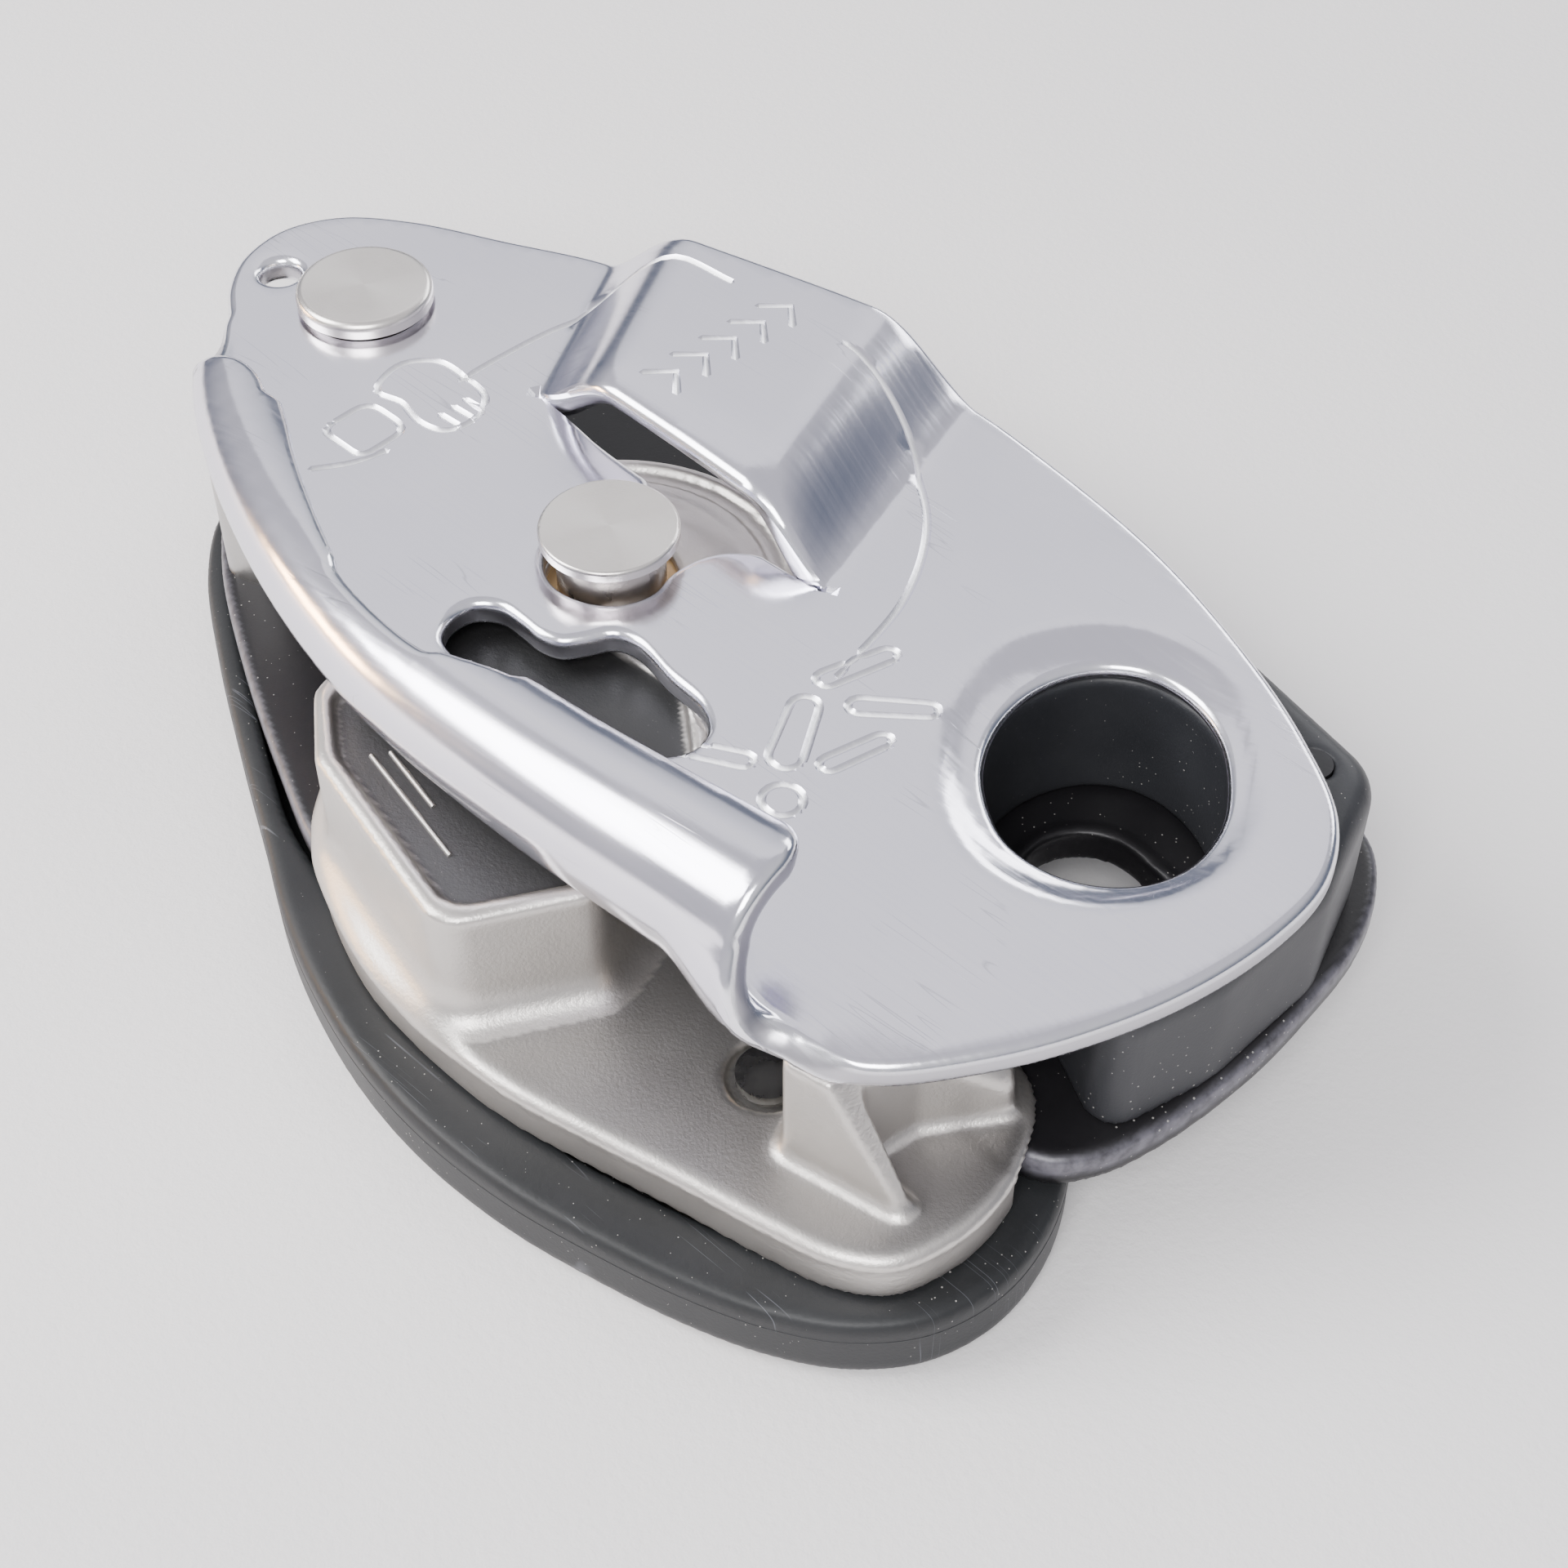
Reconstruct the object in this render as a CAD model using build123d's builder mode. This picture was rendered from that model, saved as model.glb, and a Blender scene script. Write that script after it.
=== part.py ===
from build123d import *
from math import cos, radians, sin
import os

# Rope descender: an assisted-braking device for a single rope. The rope bends round a pivoting cam
# between two side plates, and load on the rope turns the cam, which pinches the rope on a steel shoe.
# Frame: x = y = 0 on the axis of the attachment hole, +X from the plate pivot to the attachment end,
# +Y to the domed side, and z = 0 on the outer face of the fixed side plate, with +Z towards the
# moving side plate. Everything is in millimetres.

# Heights of the plates and of the rope gap between them.
FIXED_T = 3.0
ROPE_GAP = 12.5
PLATE_T = 2.5
FIXED_TOP = FIXED_T
PLATE_BOTTOM = FIXED_TOP + ROPE_GAP
PLATE_TOP = PLATE_BOTTOM + PLATE_T
FACE_CLEAR = 0.3
BLOCK_TOP = PLATE_BOTTOM - FACE_CLEAR
CAM_BOTTOM = FIXED_TOP + FACE_CLEAR
CAM_TOP = BLOCK_TOP
RUN_CLEAR = 0.05

# Pivots, all parallel to Z.
PIVOT = (-80.8, 0.0)
AXLE = (-42.5, -7.8)
FOOT_PIN = (-6.4, -27.9)

# Fasteners.
PIVOT_HEAD_R = 5.85
PIVOT_SHANK_R = 3.0
PIVOT_BUSH_R = 4.4
PIVOT_HEAD_T = 1.8
PIVOT_HEAD_ROUND = 0.7
PIVOT_WASHER_R = 5.3
PIVOT_WASHER_T = 0.4
AXLE_HEAD_R = 5.5
AXLE_HEAD_T = 0.9
AXLE_HEAD_LIFT = 2.2
AXLE_HEAD_ROUND = 0.3
AXLE_NECK_R = 4.3
AXLE_BODY_R = 4.0
AXLE_TAIL_R = 3.0
CAM_BUSH_R = 5.2
TAIL_HEAD_R = 5.0
TAIL_HEAD_T = 1.4
TAIL_HEAD_ROUND = 0.98
TAIL_WASHER_R = 6.5
WASHER_T = 0.6
RIVET_R = 1.5
RIVET_HEAD_R = 2.4
RIVET_HEAD_T = 1.0
RIVET_EDGE = 0.15
SUNK_HEAD_R = 4.6
PIVOT_SEAT_CLEAR = 0.1
CAM_BUSH_CLEAR = 0.2

# Fixed side plate.
FIXED_CORNER_R = 4.0
FIXED_EDGE_R = 0.8

# Moving side plate: dome, neck slot, rolled rope lip and small holes.
DOME_LIFT = 6.0
DOME_EDGE_Y = 1.0
DOME_NEAR_X = (-61.0, -54.0, -33.5, -28.0)
DOME_FAR_Y = 30.0
DOME_FAR_X = (-76.5, -69.5, -42.5, -35.0)
SLOT_R = 5.0
SLOT_MOUTH_R = 5.8
SLOT_MOUTH = (-41.3, 2.0)
WINDOW_CORNER_R = 1.6
DISH_WIDTH = 4.5
DISH_DEPTH = 0.8
CORD_HOLE = (-89.6, -2.3)
CORD_HOLE_R = 1.7
LIP_ROOT_OVERLAP = 1.0
LIP_ROOT = (
    (-86.0, -10.2), (-75.0, -17.8), (-60.0, -24.2), (-44.0, -28.0), (-28.0, -28.6), (-5.2, -27.2),
)
LIP_SECTIONS = 7
LIP_R = (3.2, 6.2)
LIP_REACH = (0.2, 3.2)
LIP_WIDENS = 0.62
LIP_WIDEN_RATE = 2.0

# Attachment hole: a rounded triangle, the hull of three circles (x, y, radius).
HOLE_CIRCLES = ((-2.0, 3.0, 6.2), (4.2, 2.5, 5.4), (0.5, -3.0, 6.0))
SPACER_HOLE_CLEAR = 0.8
SPACER_CORNER_R = 1.5
SPACER_EDGE_R = 1.0
SPACER_RIVETS = ((12.6, -6.5), (8.6, 14.0), (-12.6, 6.5))

# Friction shoe.
SHOE_RIVET = (-75.0, -13.0)
SHOE_CORNER_R = 2.0

# Cam: sheave, pocketed nose, foot with a fin, and skirt.
SHEAVE_R = 15.0
SHEAVE_CORE_R = 10.5
SHEAVE_CHEEK_T = 1.6
NOSE_CORNER_R = 2.2
POCKET_CORNER_R = 1.6
POCKET_DEPTH = 1.0
FLOOR_TOP = 4.8
FOOT_ARC_R = 18.9
FOOT_ARC = (-28, 8, 43)
FIN_T = 3.0
FIN_TOP = BLOCK_TOP - 0.4
FIN_SINK = 0.5
FIN_FACE_Y = -29.5
PIN_HEAD_R = 2.4
PIN_RECESS_R = 3.1
PIN_RECESS_DEPTH = 0.9
PIN_R = 1.8

# Handle: a shallow trough below the fixed plate.
HANDLE_TOP = -0.4
HANDLE_BOTTOM = -7.0
HANDLE_FLOOR_T = 1.8
HANDLE_WALL = 2.2
HANDLE_OUTER = (
    (-88.0, -13.0), (-84.5, -19.0), (-66.0, -30.4), (-48.0, -39.2), (-33.0, -43.6), (-19.0, -44.3),
    (-6.0, -42.4), (5.6, -39.8),
)
HANDLE_ARC = (-20, 10, 40)
HANDLE_INNER = ((-4.0, -14.5), (-22.0, -22.0), (-50.0, -25.2), (-71.0, -18.4), (-83.5, -10.5))
HUB_R = 6.0
HUB_TOP = -2.6
HUB_SEAT = -5.3
HUB_SEAT_R = 3.4
HUB_CLEAR = 1.0
PIN_WASHER_R = 3.1
PIN_TAIL_T = 0.9
PIN_HEAD_SINK = 0.1
ARM_CORNER_R = 1.5
ARM_T = 1.6
ARM_EYE_R = 9.5
SPRING_WIRE_R = 0.45
SPRING_ROOM = 4.2
SPRING_ROOM_R = 7.8
CAM_SPRING_R = 6.6
CAM_SPRING_LIFT = 0.7
CAM_SPRING_TURNS = 2.5
CAM_SPRING_PITCH = 1.05
HANDLE_SPRING_R = 4.0
HANDLE_SPRING_LIFT = 0.6
HANDLE_SPRING_TURNS = 1.3
HANDLE_SPRING_PITCH = 1.0

os.makedirs("parts", exist_ok=True)


def pocket_outline():
    """The nose of the cam in plan: the raised, pocketed block that pinches the rope."""
    return (
        (-49.6, -31.6), (-44.6, -35.6), (-27.0, -40.0), (-20.4, -30.5),
        (-29.0, -13.0), (-42.0, 3.0), (-53.5, -14.0),
    )


def plate_hole():
    """The attachment hole's profile, the same in both plates and in the spacer."""
    with BuildSketch() as hole:
        for x, y, radius in HOLE_CIRCLES:
            with Locations((x, y)):
                Circle(radius)
        make_hull()
    return hole.sketch


def cylinder_at(center, radius, z_low, z_high):
    """A cylinder from z_low to z_high on a vertical axis."""
    with BuildPart() as body:
        with BuildSketch(Plane.XY.offset(z_low)):
            with Locations(center):
                Circle(radius)
        extrude(amount=z_high - z_low)
    return body.part


def pin_arc(radius, angle):
    """The point at an angle on a circle about the handle pin."""
    return (FOOT_PIN[0] + radius * cos(radians(angle)), FOOT_PIN[1] + radius * sin(radians(angle)))


# ---- fixed side plate: black stamped sheet, the back of the device ----
with BuildPart() as fixed_side_plate:
    with BuildSketch():
        with BuildLine():
            Polyline(
                (-93.5, -6.0), (-78.0, -22.2), (-47.5, -36.2), (-37.0, -36.2), (-15.0, -19.0),
                (12.5, -22.0), (17.8, -10.0), (17.8, 8.0), (11.5, 20.5), (-12.0, 24.5),
                (-62.0, 24.5), (-87.0, 13.5), (-94.5, 5.0), close=True,
            )
        make_face()
    extrude(amount=FIXED_T)
    fillet(fixed_side_plate.edges().filter_by(Axis.Z), FIXED_CORNER_R)
    fillet(fixed_side_plate.faces().sort_by(Axis.Z)[-1].outer_wire().edges(), FIXED_EDGE_R)
    with BuildSketch():
        add(plate_hole())
    extrude(amount=FIXED_T, mode=Mode.SUBTRACT)
    with BuildSketch():
        with Locations(PIVOT):
            Circle(PIVOT_SHANK_R + RUN_CLEAR)
        with Locations(AXLE):
            Circle(AXLE_TAIL_R + RUN_CLEAR)
        with Locations(SHOE_RIVET, *SPACER_RIVETS):
            Circle(RIVET_R + RUN_CLEAR)
    extrude(amount=FIXED_T, mode=Mode.SUBTRACT)
    with BuildSketch():
        with Locations(PIVOT):
            Circle(SUNK_HEAD_R + RUN_CLEAR)
        with Locations(SHOE_RIVET, *SPACER_RIVETS):
            Circle(RIVET_HEAD_R + RUN_CLEAR)
    extrude(amount=RIVET_HEAD_T, mode=Mode.SUBTRACT)
fixed_side_plate.part.label = "fixed_side_plate"
export_step(fixed_side_plate.part, "parts/fixed_side_plate.step")


# ---- moving side plate: polished stamped sheet with a dome, a neck slot and a rolled rope lip ----
def moving_plate_outline():
    """The flat of the moving plate: rounded edge on the right, top and left, lip root below."""
    with BuildSketch() as outline:
        with BuildLine():
            rim = Spline(
                (-5.2, -31.3), (-1.2, -32.3), (2.6, -31.7), (5.7, -29.7), (9.0, -25.6),
                (12.6, -19.6), (15.9, -11.3), (17.4, -3.0), (17.0, 3.6), (14.0, 9.0), (8.0, 13.4),
                (0.0, 17.5), (-12.0, 21.9), (-26.0, 24.6), (-35.0, 25.4), (-45.0, 23.8),
                (-53.5, 22.0), (-61.0, 20.3), (-70.2, 18.4), (-78.9, 14.6), (-87.2, 10.8),
                (-92.4, 6.8), (-94.6, 2.0), (-93.9, -3.0), (-91.0, -7.0), (-86.0, -10.2),
            )
            root = Spline(*LIP_ROOT)
            Line(root @ 1, rim @ 0)
        make_face()
    return outline.sketch


def lip_section(place, tangent, radius, reach):
    """The C-shaped section of the rolled lip on the upright plane square to its centre line."""
    outward = Vector(tangent.Y, -tangent.X, 0)
    plane = Plane(origin=(place.X, place.Y, PLATE_BOTTOM), x_dir=outward, z_dir=-tangent)
    inner = radius - PLATE_T
    top = 2 * radius
    with BuildSketch(plane) as section:
        with BuildLine():
            Line((-LIP_ROOT_OVERLAP, 0), (0, 0))
            ThreePointArc((0, 0), (radius, radius), (0, top))
            Line((0, top), (-reach, top))
            Line((-reach, top), (-reach, top - PLATE_T))
            Line((-reach, top - PLATE_T), (0, top - PLATE_T))
            ThreePointArc((0, top - PLATE_T), (inner, radius), (0, PLATE_T))
            Line((0, PLATE_T), (-LIP_ROOT_OVERLAP, PLATE_T))
            Line((-LIP_ROOT_OVERLAP, PLATE_T), (-LIP_ROOT_OVERLAP, 0))
        make_face()
    return section.sketch


def blend(ends, share):
    """A value the given share of the way between two ends."""
    return ends[0] + (ends[1] - ends[0]) * share


def dome_section(edge_y, stations):
    """The dome's trapezium in the upright plane at edge_y: base, shoulder, shoulder, base."""
    base_left, shoulder_left, shoulder_right, base_right = stations
    with BuildSketch(Plane.XZ.offset(-edge_y)) as section:
        with BuildLine():
            Polyline(
                (base_left, PLATE_TOP), (shoulder_left, PLATE_TOP + DOME_LIFT),
                (shoulder_right, PLATE_TOP + DOME_LIFT), (base_right, PLATE_TOP),
                (base_right, PLATE_BOTTOM), (shoulder_right, PLATE_BOTTOM + DOME_LIFT),
                (shoulder_left, PLATE_BOTTOM + DOME_LIFT), (base_left, PLATE_BOTTOM), close=True,
            )
        make_face()
    return section.sketch


with BuildPart() as dome:
    add(dome_section(DOME_EDGE_Y, DOME_NEAR_X))
    add(dome_section(DOME_FAR_Y, DOME_FAR_X))
    loft()
    with BuildSketch(Plane.XY.offset(PLATE_BOTTOM)):
        add(moving_plate_outline())
    extrude(amount=PLATE_T + DOME_LIFT, mode=Mode.INTERSECT)

with BuildPart() as lip:
    with BuildLine(mode=Mode.PRIVATE):
        lip_root = Spline(*LIP_ROOT)
    for step in range(LIP_SECTIONS):
        share = step / (LIP_SECTIONS - 1)
        widened = min(max((share - LIP_WIDENS) / (1 - LIP_WIDENS) * LIP_WIDEN_RATE, 0.0), 1.0)
        add(lip_section(lip_root @ share, lip_root % share, blend(LIP_R, share), blend(LIP_REACH, widened)))
    loft()

with BuildPart() as moving_side_plate:
    with BuildSketch(Plane.XY.offset(PLATE_BOTTOM)):
        add(moving_plate_outline())
        with BuildLine():
            Polyline(
                (DOME_NEAR_X[0], DOME_EDGE_Y), (DOME_NEAR_X[3], DOME_EDGE_Y),
                (DOME_FAR_X[3], DOME_FAR_Y), (DOME_FAR_X[0], DOME_FAR_Y), close=True,
            )
        make_face(mode=Mode.SUBTRACT)
    extrude(amount=PLATE_T)
    add(dome.part)
    add(lip.part)
    with BuildSketch(Plane.XY.offset(PLATE_BOTTOM)):
        with Locations(AXLE):
            Circle(SLOT_R)
        with Locations(SLOT_MOUTH):
            Circle(SLOT_MOUTH_R)
        make_hull()
    extrude(amount=PLATE_T, mode=Mode.SUBTRACT)
    with BuildSketch(Plane.XY.offset(PLATE_BOTTOM)):
        add(plate_hole())
        with Locations(PIVOT):
            Circle(PIVOT_BUSH_R + RUN_CLEAR)
        with Locations(CORD_HOLE):
            Circle(CORD_HOLE_R)
    extrude(amount=PLATE_T, mode=Mode.SUBTRACT)
    with BuildSketch(Plane.XY.offset(PLATE_BOTTOM)):
        with BuildLine():
            Polyline(
                (-45.8, -22.8), (-44.6, -18.6), (-38.6, -17.4), (-35.4, -13.2), (-26.0, -14.4),
                (-23.8, -18.0), (-27.0, -22.8), close=True,
            )
        window = make_face()
        fillet(window.vertices(), WINDOW_CORNER_R)
    extrude(amount=PLATE_T, mode=Mode.SUBTRACT)
    with BuildSketch(Plane.XY.offset(PLATE_TOP)):
        offset(plate_hole(), amount=DISH_WIDTH)
    extrude(amount=-DISH_DEPTH, mode=Mode.SUBTRACT)
moving_side_plate.part.label = "moving_side_plate"
export_step(moving_side_plate.part, "parts/moving_side_plate.step")


# ---- attachment end: moulded spacer between the plates, and its three rivets ----
with BuildPart() as carabiner_spacer:
    with BuildSketch(Plane.XY.offset(FIXED_TOP)):
        with BuildLine():
            Polyline(
                (13.6, -15.4), (15.8, -6.0), (15.8, 6.5), (11.0, 16.2), (-6.0, 20.6),
                (-16.5, 18.0), (-15.5, 3.0), (-8.5, -11.6), (6.0, -11.8), close=True,
            )
        block = make_face()
        fillet(block.vertices(), SPACER_CORNER_R)
    extrude(amount=BLOCK_TOP - FIXED_TOP)
    fillet(carabiner_spacer.faces().sort_by(Axis.Z)[-1].outer_wire().edges(), SPACER_EDGE_R)
    with BuildSketch(Plane.XY.offset(FIXED_TOP)):
        offset(plate_hole(), amount=SPACER_HOLE_CLEAR)
    extrude(amount=BLOCK_TOP - FIXED_TOP, mode=Mode.SUBTRACT)
    with BuildSketch(Plane.XY.offset(FIXED_TOP)):
        with Locations(*SPACER_RIVETS):
            Circle(RIVET_R + RUN_CLEAR)
    extrude(amount=BLOCK_TOP - FIXED_TOP, mode=Mode.SUBTRACT)
carabiner_spacer.part.label = "carabiner_spacer"
export_step(carabiner_spacer.part, "parts/carabiner_spacer.step")


def sunk_rivet(center, radius, head_r, z_high):
    """A rivet whose broad head is sunk flush into the back of the fixed plate."""
    with BuildPart() as rivet:
        add(cylinder_at(center, radius, 0.0, z_high))
        add(cylinder_at(center, head_r, 0.0, RIVET_HEAD_T))
        chamfer(rivet.faces().sort_by(Axis.Z)[0].edges(), RIVET_EDGE)
    return rivet.part


for number, spot in enumerate(SPACER_RIVETS, start=1):
    spacer_rivet = sunk_rivet(spot, RIVET_R, RIVET_HEAD_R, BLOCK_TOP)
    spacer_rivet.label = f"spacer_rivet_{number}"
    export_step(spacer_rivet, f"parts/spacer_rivet_{number}.step")


# ---- friction shoe: the steel block that the cam pinches the rope on ----
with BuildPart() as friction_shoe:
    with BuildSketch(Plane.XY.offset(FIXED_TOP)):
        with BuildLine():
            Polyline(
                (-88.5, -2.5), (-84.0, -14.0), (-77.0, -20.9), (-72.6, -19.6), (-68.4, -7.0),
                (-70.0, 4.5), (-76.5, 9.0), (-85.5, 7.0), close=True,
            )
        shoe = make_face()
        fillet(shoe.vertices(), SHOE_CORNER_R)
        with Locations(PIVOT):
            Circle(PIVOT_SHANK_R + RUN_CLEAR, mode=Mode.SUBTRACT)
        with Locations(SHOE_RIVET):
            Circle(RIVET_R + RUN_CLEAR, mode=Mode.SUBTRACT)
    extrude(amount=BLOCK_TOP - FIXED_TOP)
friction_shoe.part.label = "friction_shoe"
export_step(friction_shoe.part, "parts/friction_shoe.step")

friction_rivet = sunk_rivet(SHOE_RIVET, RIVET_R, RIVET_HEAD_R, BLOCK_TOP)
friction_rivet.label = "friction_rivet"
export_step(friction_rivet, "parts/friction_rivet.step")


# ---- plate pivot: rivet, bush and washer that the moving plate turns on ----
PIVOT_SEAT = PLATE_TOP + PIVOT_SEAT_CLEAR
with BuildPart() as pivot_bush:
    with BuildSketch(Plane.XY.offset(BLOCK_TOP)):
        with Locations(PIVOT):
            Circle(PIVOT_BUSH_R)
            Circle(PIVOT_SHANK_R + RUN_CLEAR, mode=Mode.SUBTRACT)
    extrude(amount=PIVOT_SEAT - BLOCK_TOP)
pivot_bush.part.label = "pivot_bush"
export_step(pivot_bush.part, "parts/pivot_bush.step")

with BuildPart() as pivot_rivet:
    add(sunk_rivet(PIVOT, PIVOT_SHANK_R, SUNK_HEAD_R, PIVOT_SEAT + PIVOT_WASHER_T))
    add(cylinder_at(PIVOT, PIVOT_HEAD_R, PIVOT_SEAT + PIVOT_WASHER_T, PIVOT_SEAT + PIVOT_HEAD_T))
    fillet(pivot_rivet.faces().sort_by(Axis.Z)[-1].edges(), PIVOT_HEAD_ROUND)
pivot_rivet.part.label = "pivot_rivet"
export_step(pivot_rivet.part, "parts/pivot_rivet.step")


def flat_washer(center, bore, radius, z_low, thickness):
    """A plain flat washer on a vertical axis."""
    with BuildPart() as washer:
        with BuildSketch(Plane.XY.offset(z_low)):
            with Locations(center):
                Circle(radius)
                Circle(bore + RUN_CLEAR, mode=Mode.SUBTRACT)
        extrude(amount=thickness)
    return washer.part


pivot_washer = flat_washer(PIVOT, PIVOT_SHANK_R, PIVOT_WASHER_R, PIVOT_SEAT, PIVOT_WASHER_T)
pivot_washer.label = "pivot_washer"
export_step(pivot_washer, "parts/pivot_washer.step")


# ---- cam: one stainless casting with sheave, pocketed nose, foot, fin and skirt ----
def foot_outline():
    """The foot in plan: long outer edge, an arc about the handle pin, and the inner edge."""
    start, middle, end = [pin_arc(FOOT_ARC_R, angle) for angle in FOOT_ARC]
    with BuildSketch() as outline:
        with BuildLine():
            Spline((-49.6, -33.6), (-36.5, -39.8), (-21.5, -41.7), (-5.0, -39.1), start)
            ThreePointArc(start, middle, end)
            Polyline(end, (-12.0, -15.6), (-28.0, -9.0), (-42.0, 3.0), (-53.5, -14.0), (-49.6, -33.6))
        make_face()
    return outline.sketch


with BuildPart() as cam:
    with BuildSketch(Plane.XY.offset(CAM_BOTTOM)):
        add(foot_outline())
    extrude(amount=FLOOR_TOP - CAM_BOTTOM)
    with BuildSketch(Plane.XY):
        add(foot_outline())
        with BuildLine():
            Polyline(
                (-34.0, -50.0), (-34.0, -38.6), (-13.0, -24.4), (16.0, -24.4), (16.0, -50.0),
                close=True,
            )
        make_face(mode=Mode.INTERSECT)
    extrude(amount=CAM_BOTTOM)
    for low, radius, height in (
        (CAM_BOTTOM, SHEAVE_R, SHEAVE_CHEEK_T),
        (CAM_BOTTOM, SHEAVE_CORE_R, CAM_TOP - CAM_BOTTOM),
        (CAM_TOP - SHEAVE_CHEEK_T, SHEAVE_R, SHEAVE_CHEEK_T),
    ):
        add(cylinder_at(AXLE, radius, low, low + height))
    with BuildSketch(Plane.XY.offset(CAM_BOTTOM)):
        with BuildLine():
            Polyline(*pocket_outline(), close=True)
        nose = make_face()
        fillet(nose.vertices(), NOSE_CORNER_R)
    extrude(amount=CAM_TOP - CAM_BOTTOM)
    with BuildSketch(Plane.XY.offset(CAM_TOP)):
        with BuildLine():
            Polyline(
                (-48.0, -31.6), (-44.2, -34.3), (-27.4, -38.5), (-22.0, -30.4), (-29.0, -17.0),
                (-46.0, -21.0), close=True,
            )
        pocket = make_face()
        fillet(pocket.vertices(), POCKET_CORNER_R)
    extrude(amount=-POCKET_DEPTH, mode=Mode.SUBTRACT)
    with BuildSketch(Plane.XZ.offset(-FIN_FACE_Y)):
        with BuildLine():
            Polyline(
                (-1.4, FLOOR_TOP - FIN_SINK), (8.8, FLOOR_TOP - FIN_SINK), (3.2, FIN_TOP), (-0.6, FIN_TOP),
                close=True,
            )
        make_face()
    extrude(amount=FIN_T)
    with BuildSketch(Plane.XY.offset(FLOOR_TOP)):
        with Locations(FOOT_PIN):
            Circle(PIN_RECESS_R)
    extrude(amount=-PIN_RECESS_DEPTH, mode=Mode.SUBTRACT)
    with BuildSketch(Plane.XY):
        with Locations(FOOT_PIN):
            Circle(PIN_R + RUN_CLEAR)
    extrude(amount=FLOOR_TOP, mode=Mode.SUBTRACT)
    with BuildSketch(Plane.XY.offset(CAM_BOTTOM)):
        with Locations(AXLE):
            Circle(CAM_BUSH_R)
    extrude(amount=CAM_TOP - CAM_BOTTOM, mode=Mode.SUBTRACT)
    with BuildSketch(Plane.XY.offset(CAM_BOTTOM)):
        with Locations(AXLE):
            Circle(SPRING_ROOM_R)
    extrude(amount=SPRING_ROOM, mode=Mode.SUBTRACT)
cam.part.label = "cam"
export_step(cam.part, "parts/cam.step")

# ---- cam axle: turned head above the moving plate, neck in its slot, body in the bush ----
AXLE_HEAD_BOTTOM = PLATE_TOP + AXLE_HEAD_LIFT
with BuildPart() as cam_axle:
    add(cylinder_at(AXLE, AXLE_BODY_R, FIXED_TOP, CAM_TOP))
    add(cylinder_at(AXLE, AXLE_NECK_R, CAM_TOP, AXLE_HEAD_BOTTOM))
    add(cylinder_at(AXLE, AXLE_HEAD_R, AXLE_HEAD_BOTTOM, AXLE_HEAD_BOTTOM + AXLE_HEAD_T))
    fillet(cam_axle.faces().sort_by(Axis.Z)[-1].edges(), AXLE_HEAD_ROUND)
    add(cylinder_at(AXLE, AXLE_TAIL_R, -WASHER_T - TAIL_HEAD_T, FIXED_TOP))
    add(cylinder_at(AXLE, TAIL_HEAD_R, -WASHER_T - TAIL_HEAD_T, -WASHER_T))
    fillet(cam_axle.faces().sort_by(Axis.Z)[0].edges(), TAIL_HEAD_ROUND)
cam_axle.part.label = "cam_axle"
export_step(cam_axle.part, "parts/cam_axle.step")

with BuildPart() as cam_bush:
    with BuildSketch(Plane.XY.offset(CAM_BOTTOM)):
        with Locations(AXLE):
            Circle(CAM_BUSH_R)
            Circle(AXLE_BODY_R + RUN_CLEAR, mode=Mode.SUBTRACT)
    extrude(amount=CAM_TOP - CAM_BOTTOM - CAM_BUSH_CLEAR)
cam_bush.part.label = "cam_bush"
export_step(cam_bush.part, "parts/cam_bush.step")

axle_washer = flat_washer(AXLE, AXLE_TAIL_R, TAIL_WASHER_R, -WASHER_T, WASHER_T)
axle_washer.label = "axle_washer"
export_step(axle_washer, "parts/axle_washer.step")


def coil_spring(center, radius, z_low, turns, pitch):
    """A round-wire coil on a vertical axis, from its lowest centre line height."""
    with BuildPart() as spring:
        with BuildLine():
            path = Helix(pitch=pitch, height=turns * pitch, radius=radius, center=(*center, z_low))
        with BuildSketch(Plane(origin=path @ 0, z_dir=path % 0)):
            Circle(SPRING_WIRE_R)
        sweep(path=path)
    return spring.part


cam_spring = coil_spring(
    AXLE, CAM_SPRING_R, CAM_BOTTOM + CAM_SPRING_LIFT, CAM_SPRING_TURNS, CAM_SPRING_PITCH)
cam_spring.label = "cam_spring"
export_step(cam_spring, "parts/cam_spring.step")


# ---- handle: dark moulded trough with a steel arm, pinned to the foot of the cam ----
def inset_points(points, inset):
    """Points moved square to their run, to its left, by the inset."""
    moved = []
    for index, (x, y) in enumerate(points):
        x_0, y_0 = points[max(index - 1, 0)]
        x_1, y_1 = points[min(index + 1, len(points) - 1)]
        run = Vector(x_1 - x_0, y_1 - y_0).normalized()
        moved.append((x - run.Y * inset, y + run.X * inset))
    return moved


def handle_outline(inset=0.0):
    """The handle in plan: its long outer edge, an arc about the pin, and the inner edge."""
    radius = FOOT_ARC_R + HANDLE_WALL - inset
    start, middle, end = [pin_arc(radius, angle) for angle in HANDLE_ARC]
    with BuildSketch() as outline:
        with BuildLine():
            outer = Spline(*inset_points(HANDLE_OUTER, inset), start)
            ThreePointArc(start, middle, end)
            inner = Spline(end, *inset_points(HANDLE_INNER, inset))
            Line(inner @ 1, outer @ 0)
        make_face()
    return outline.sketch


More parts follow.
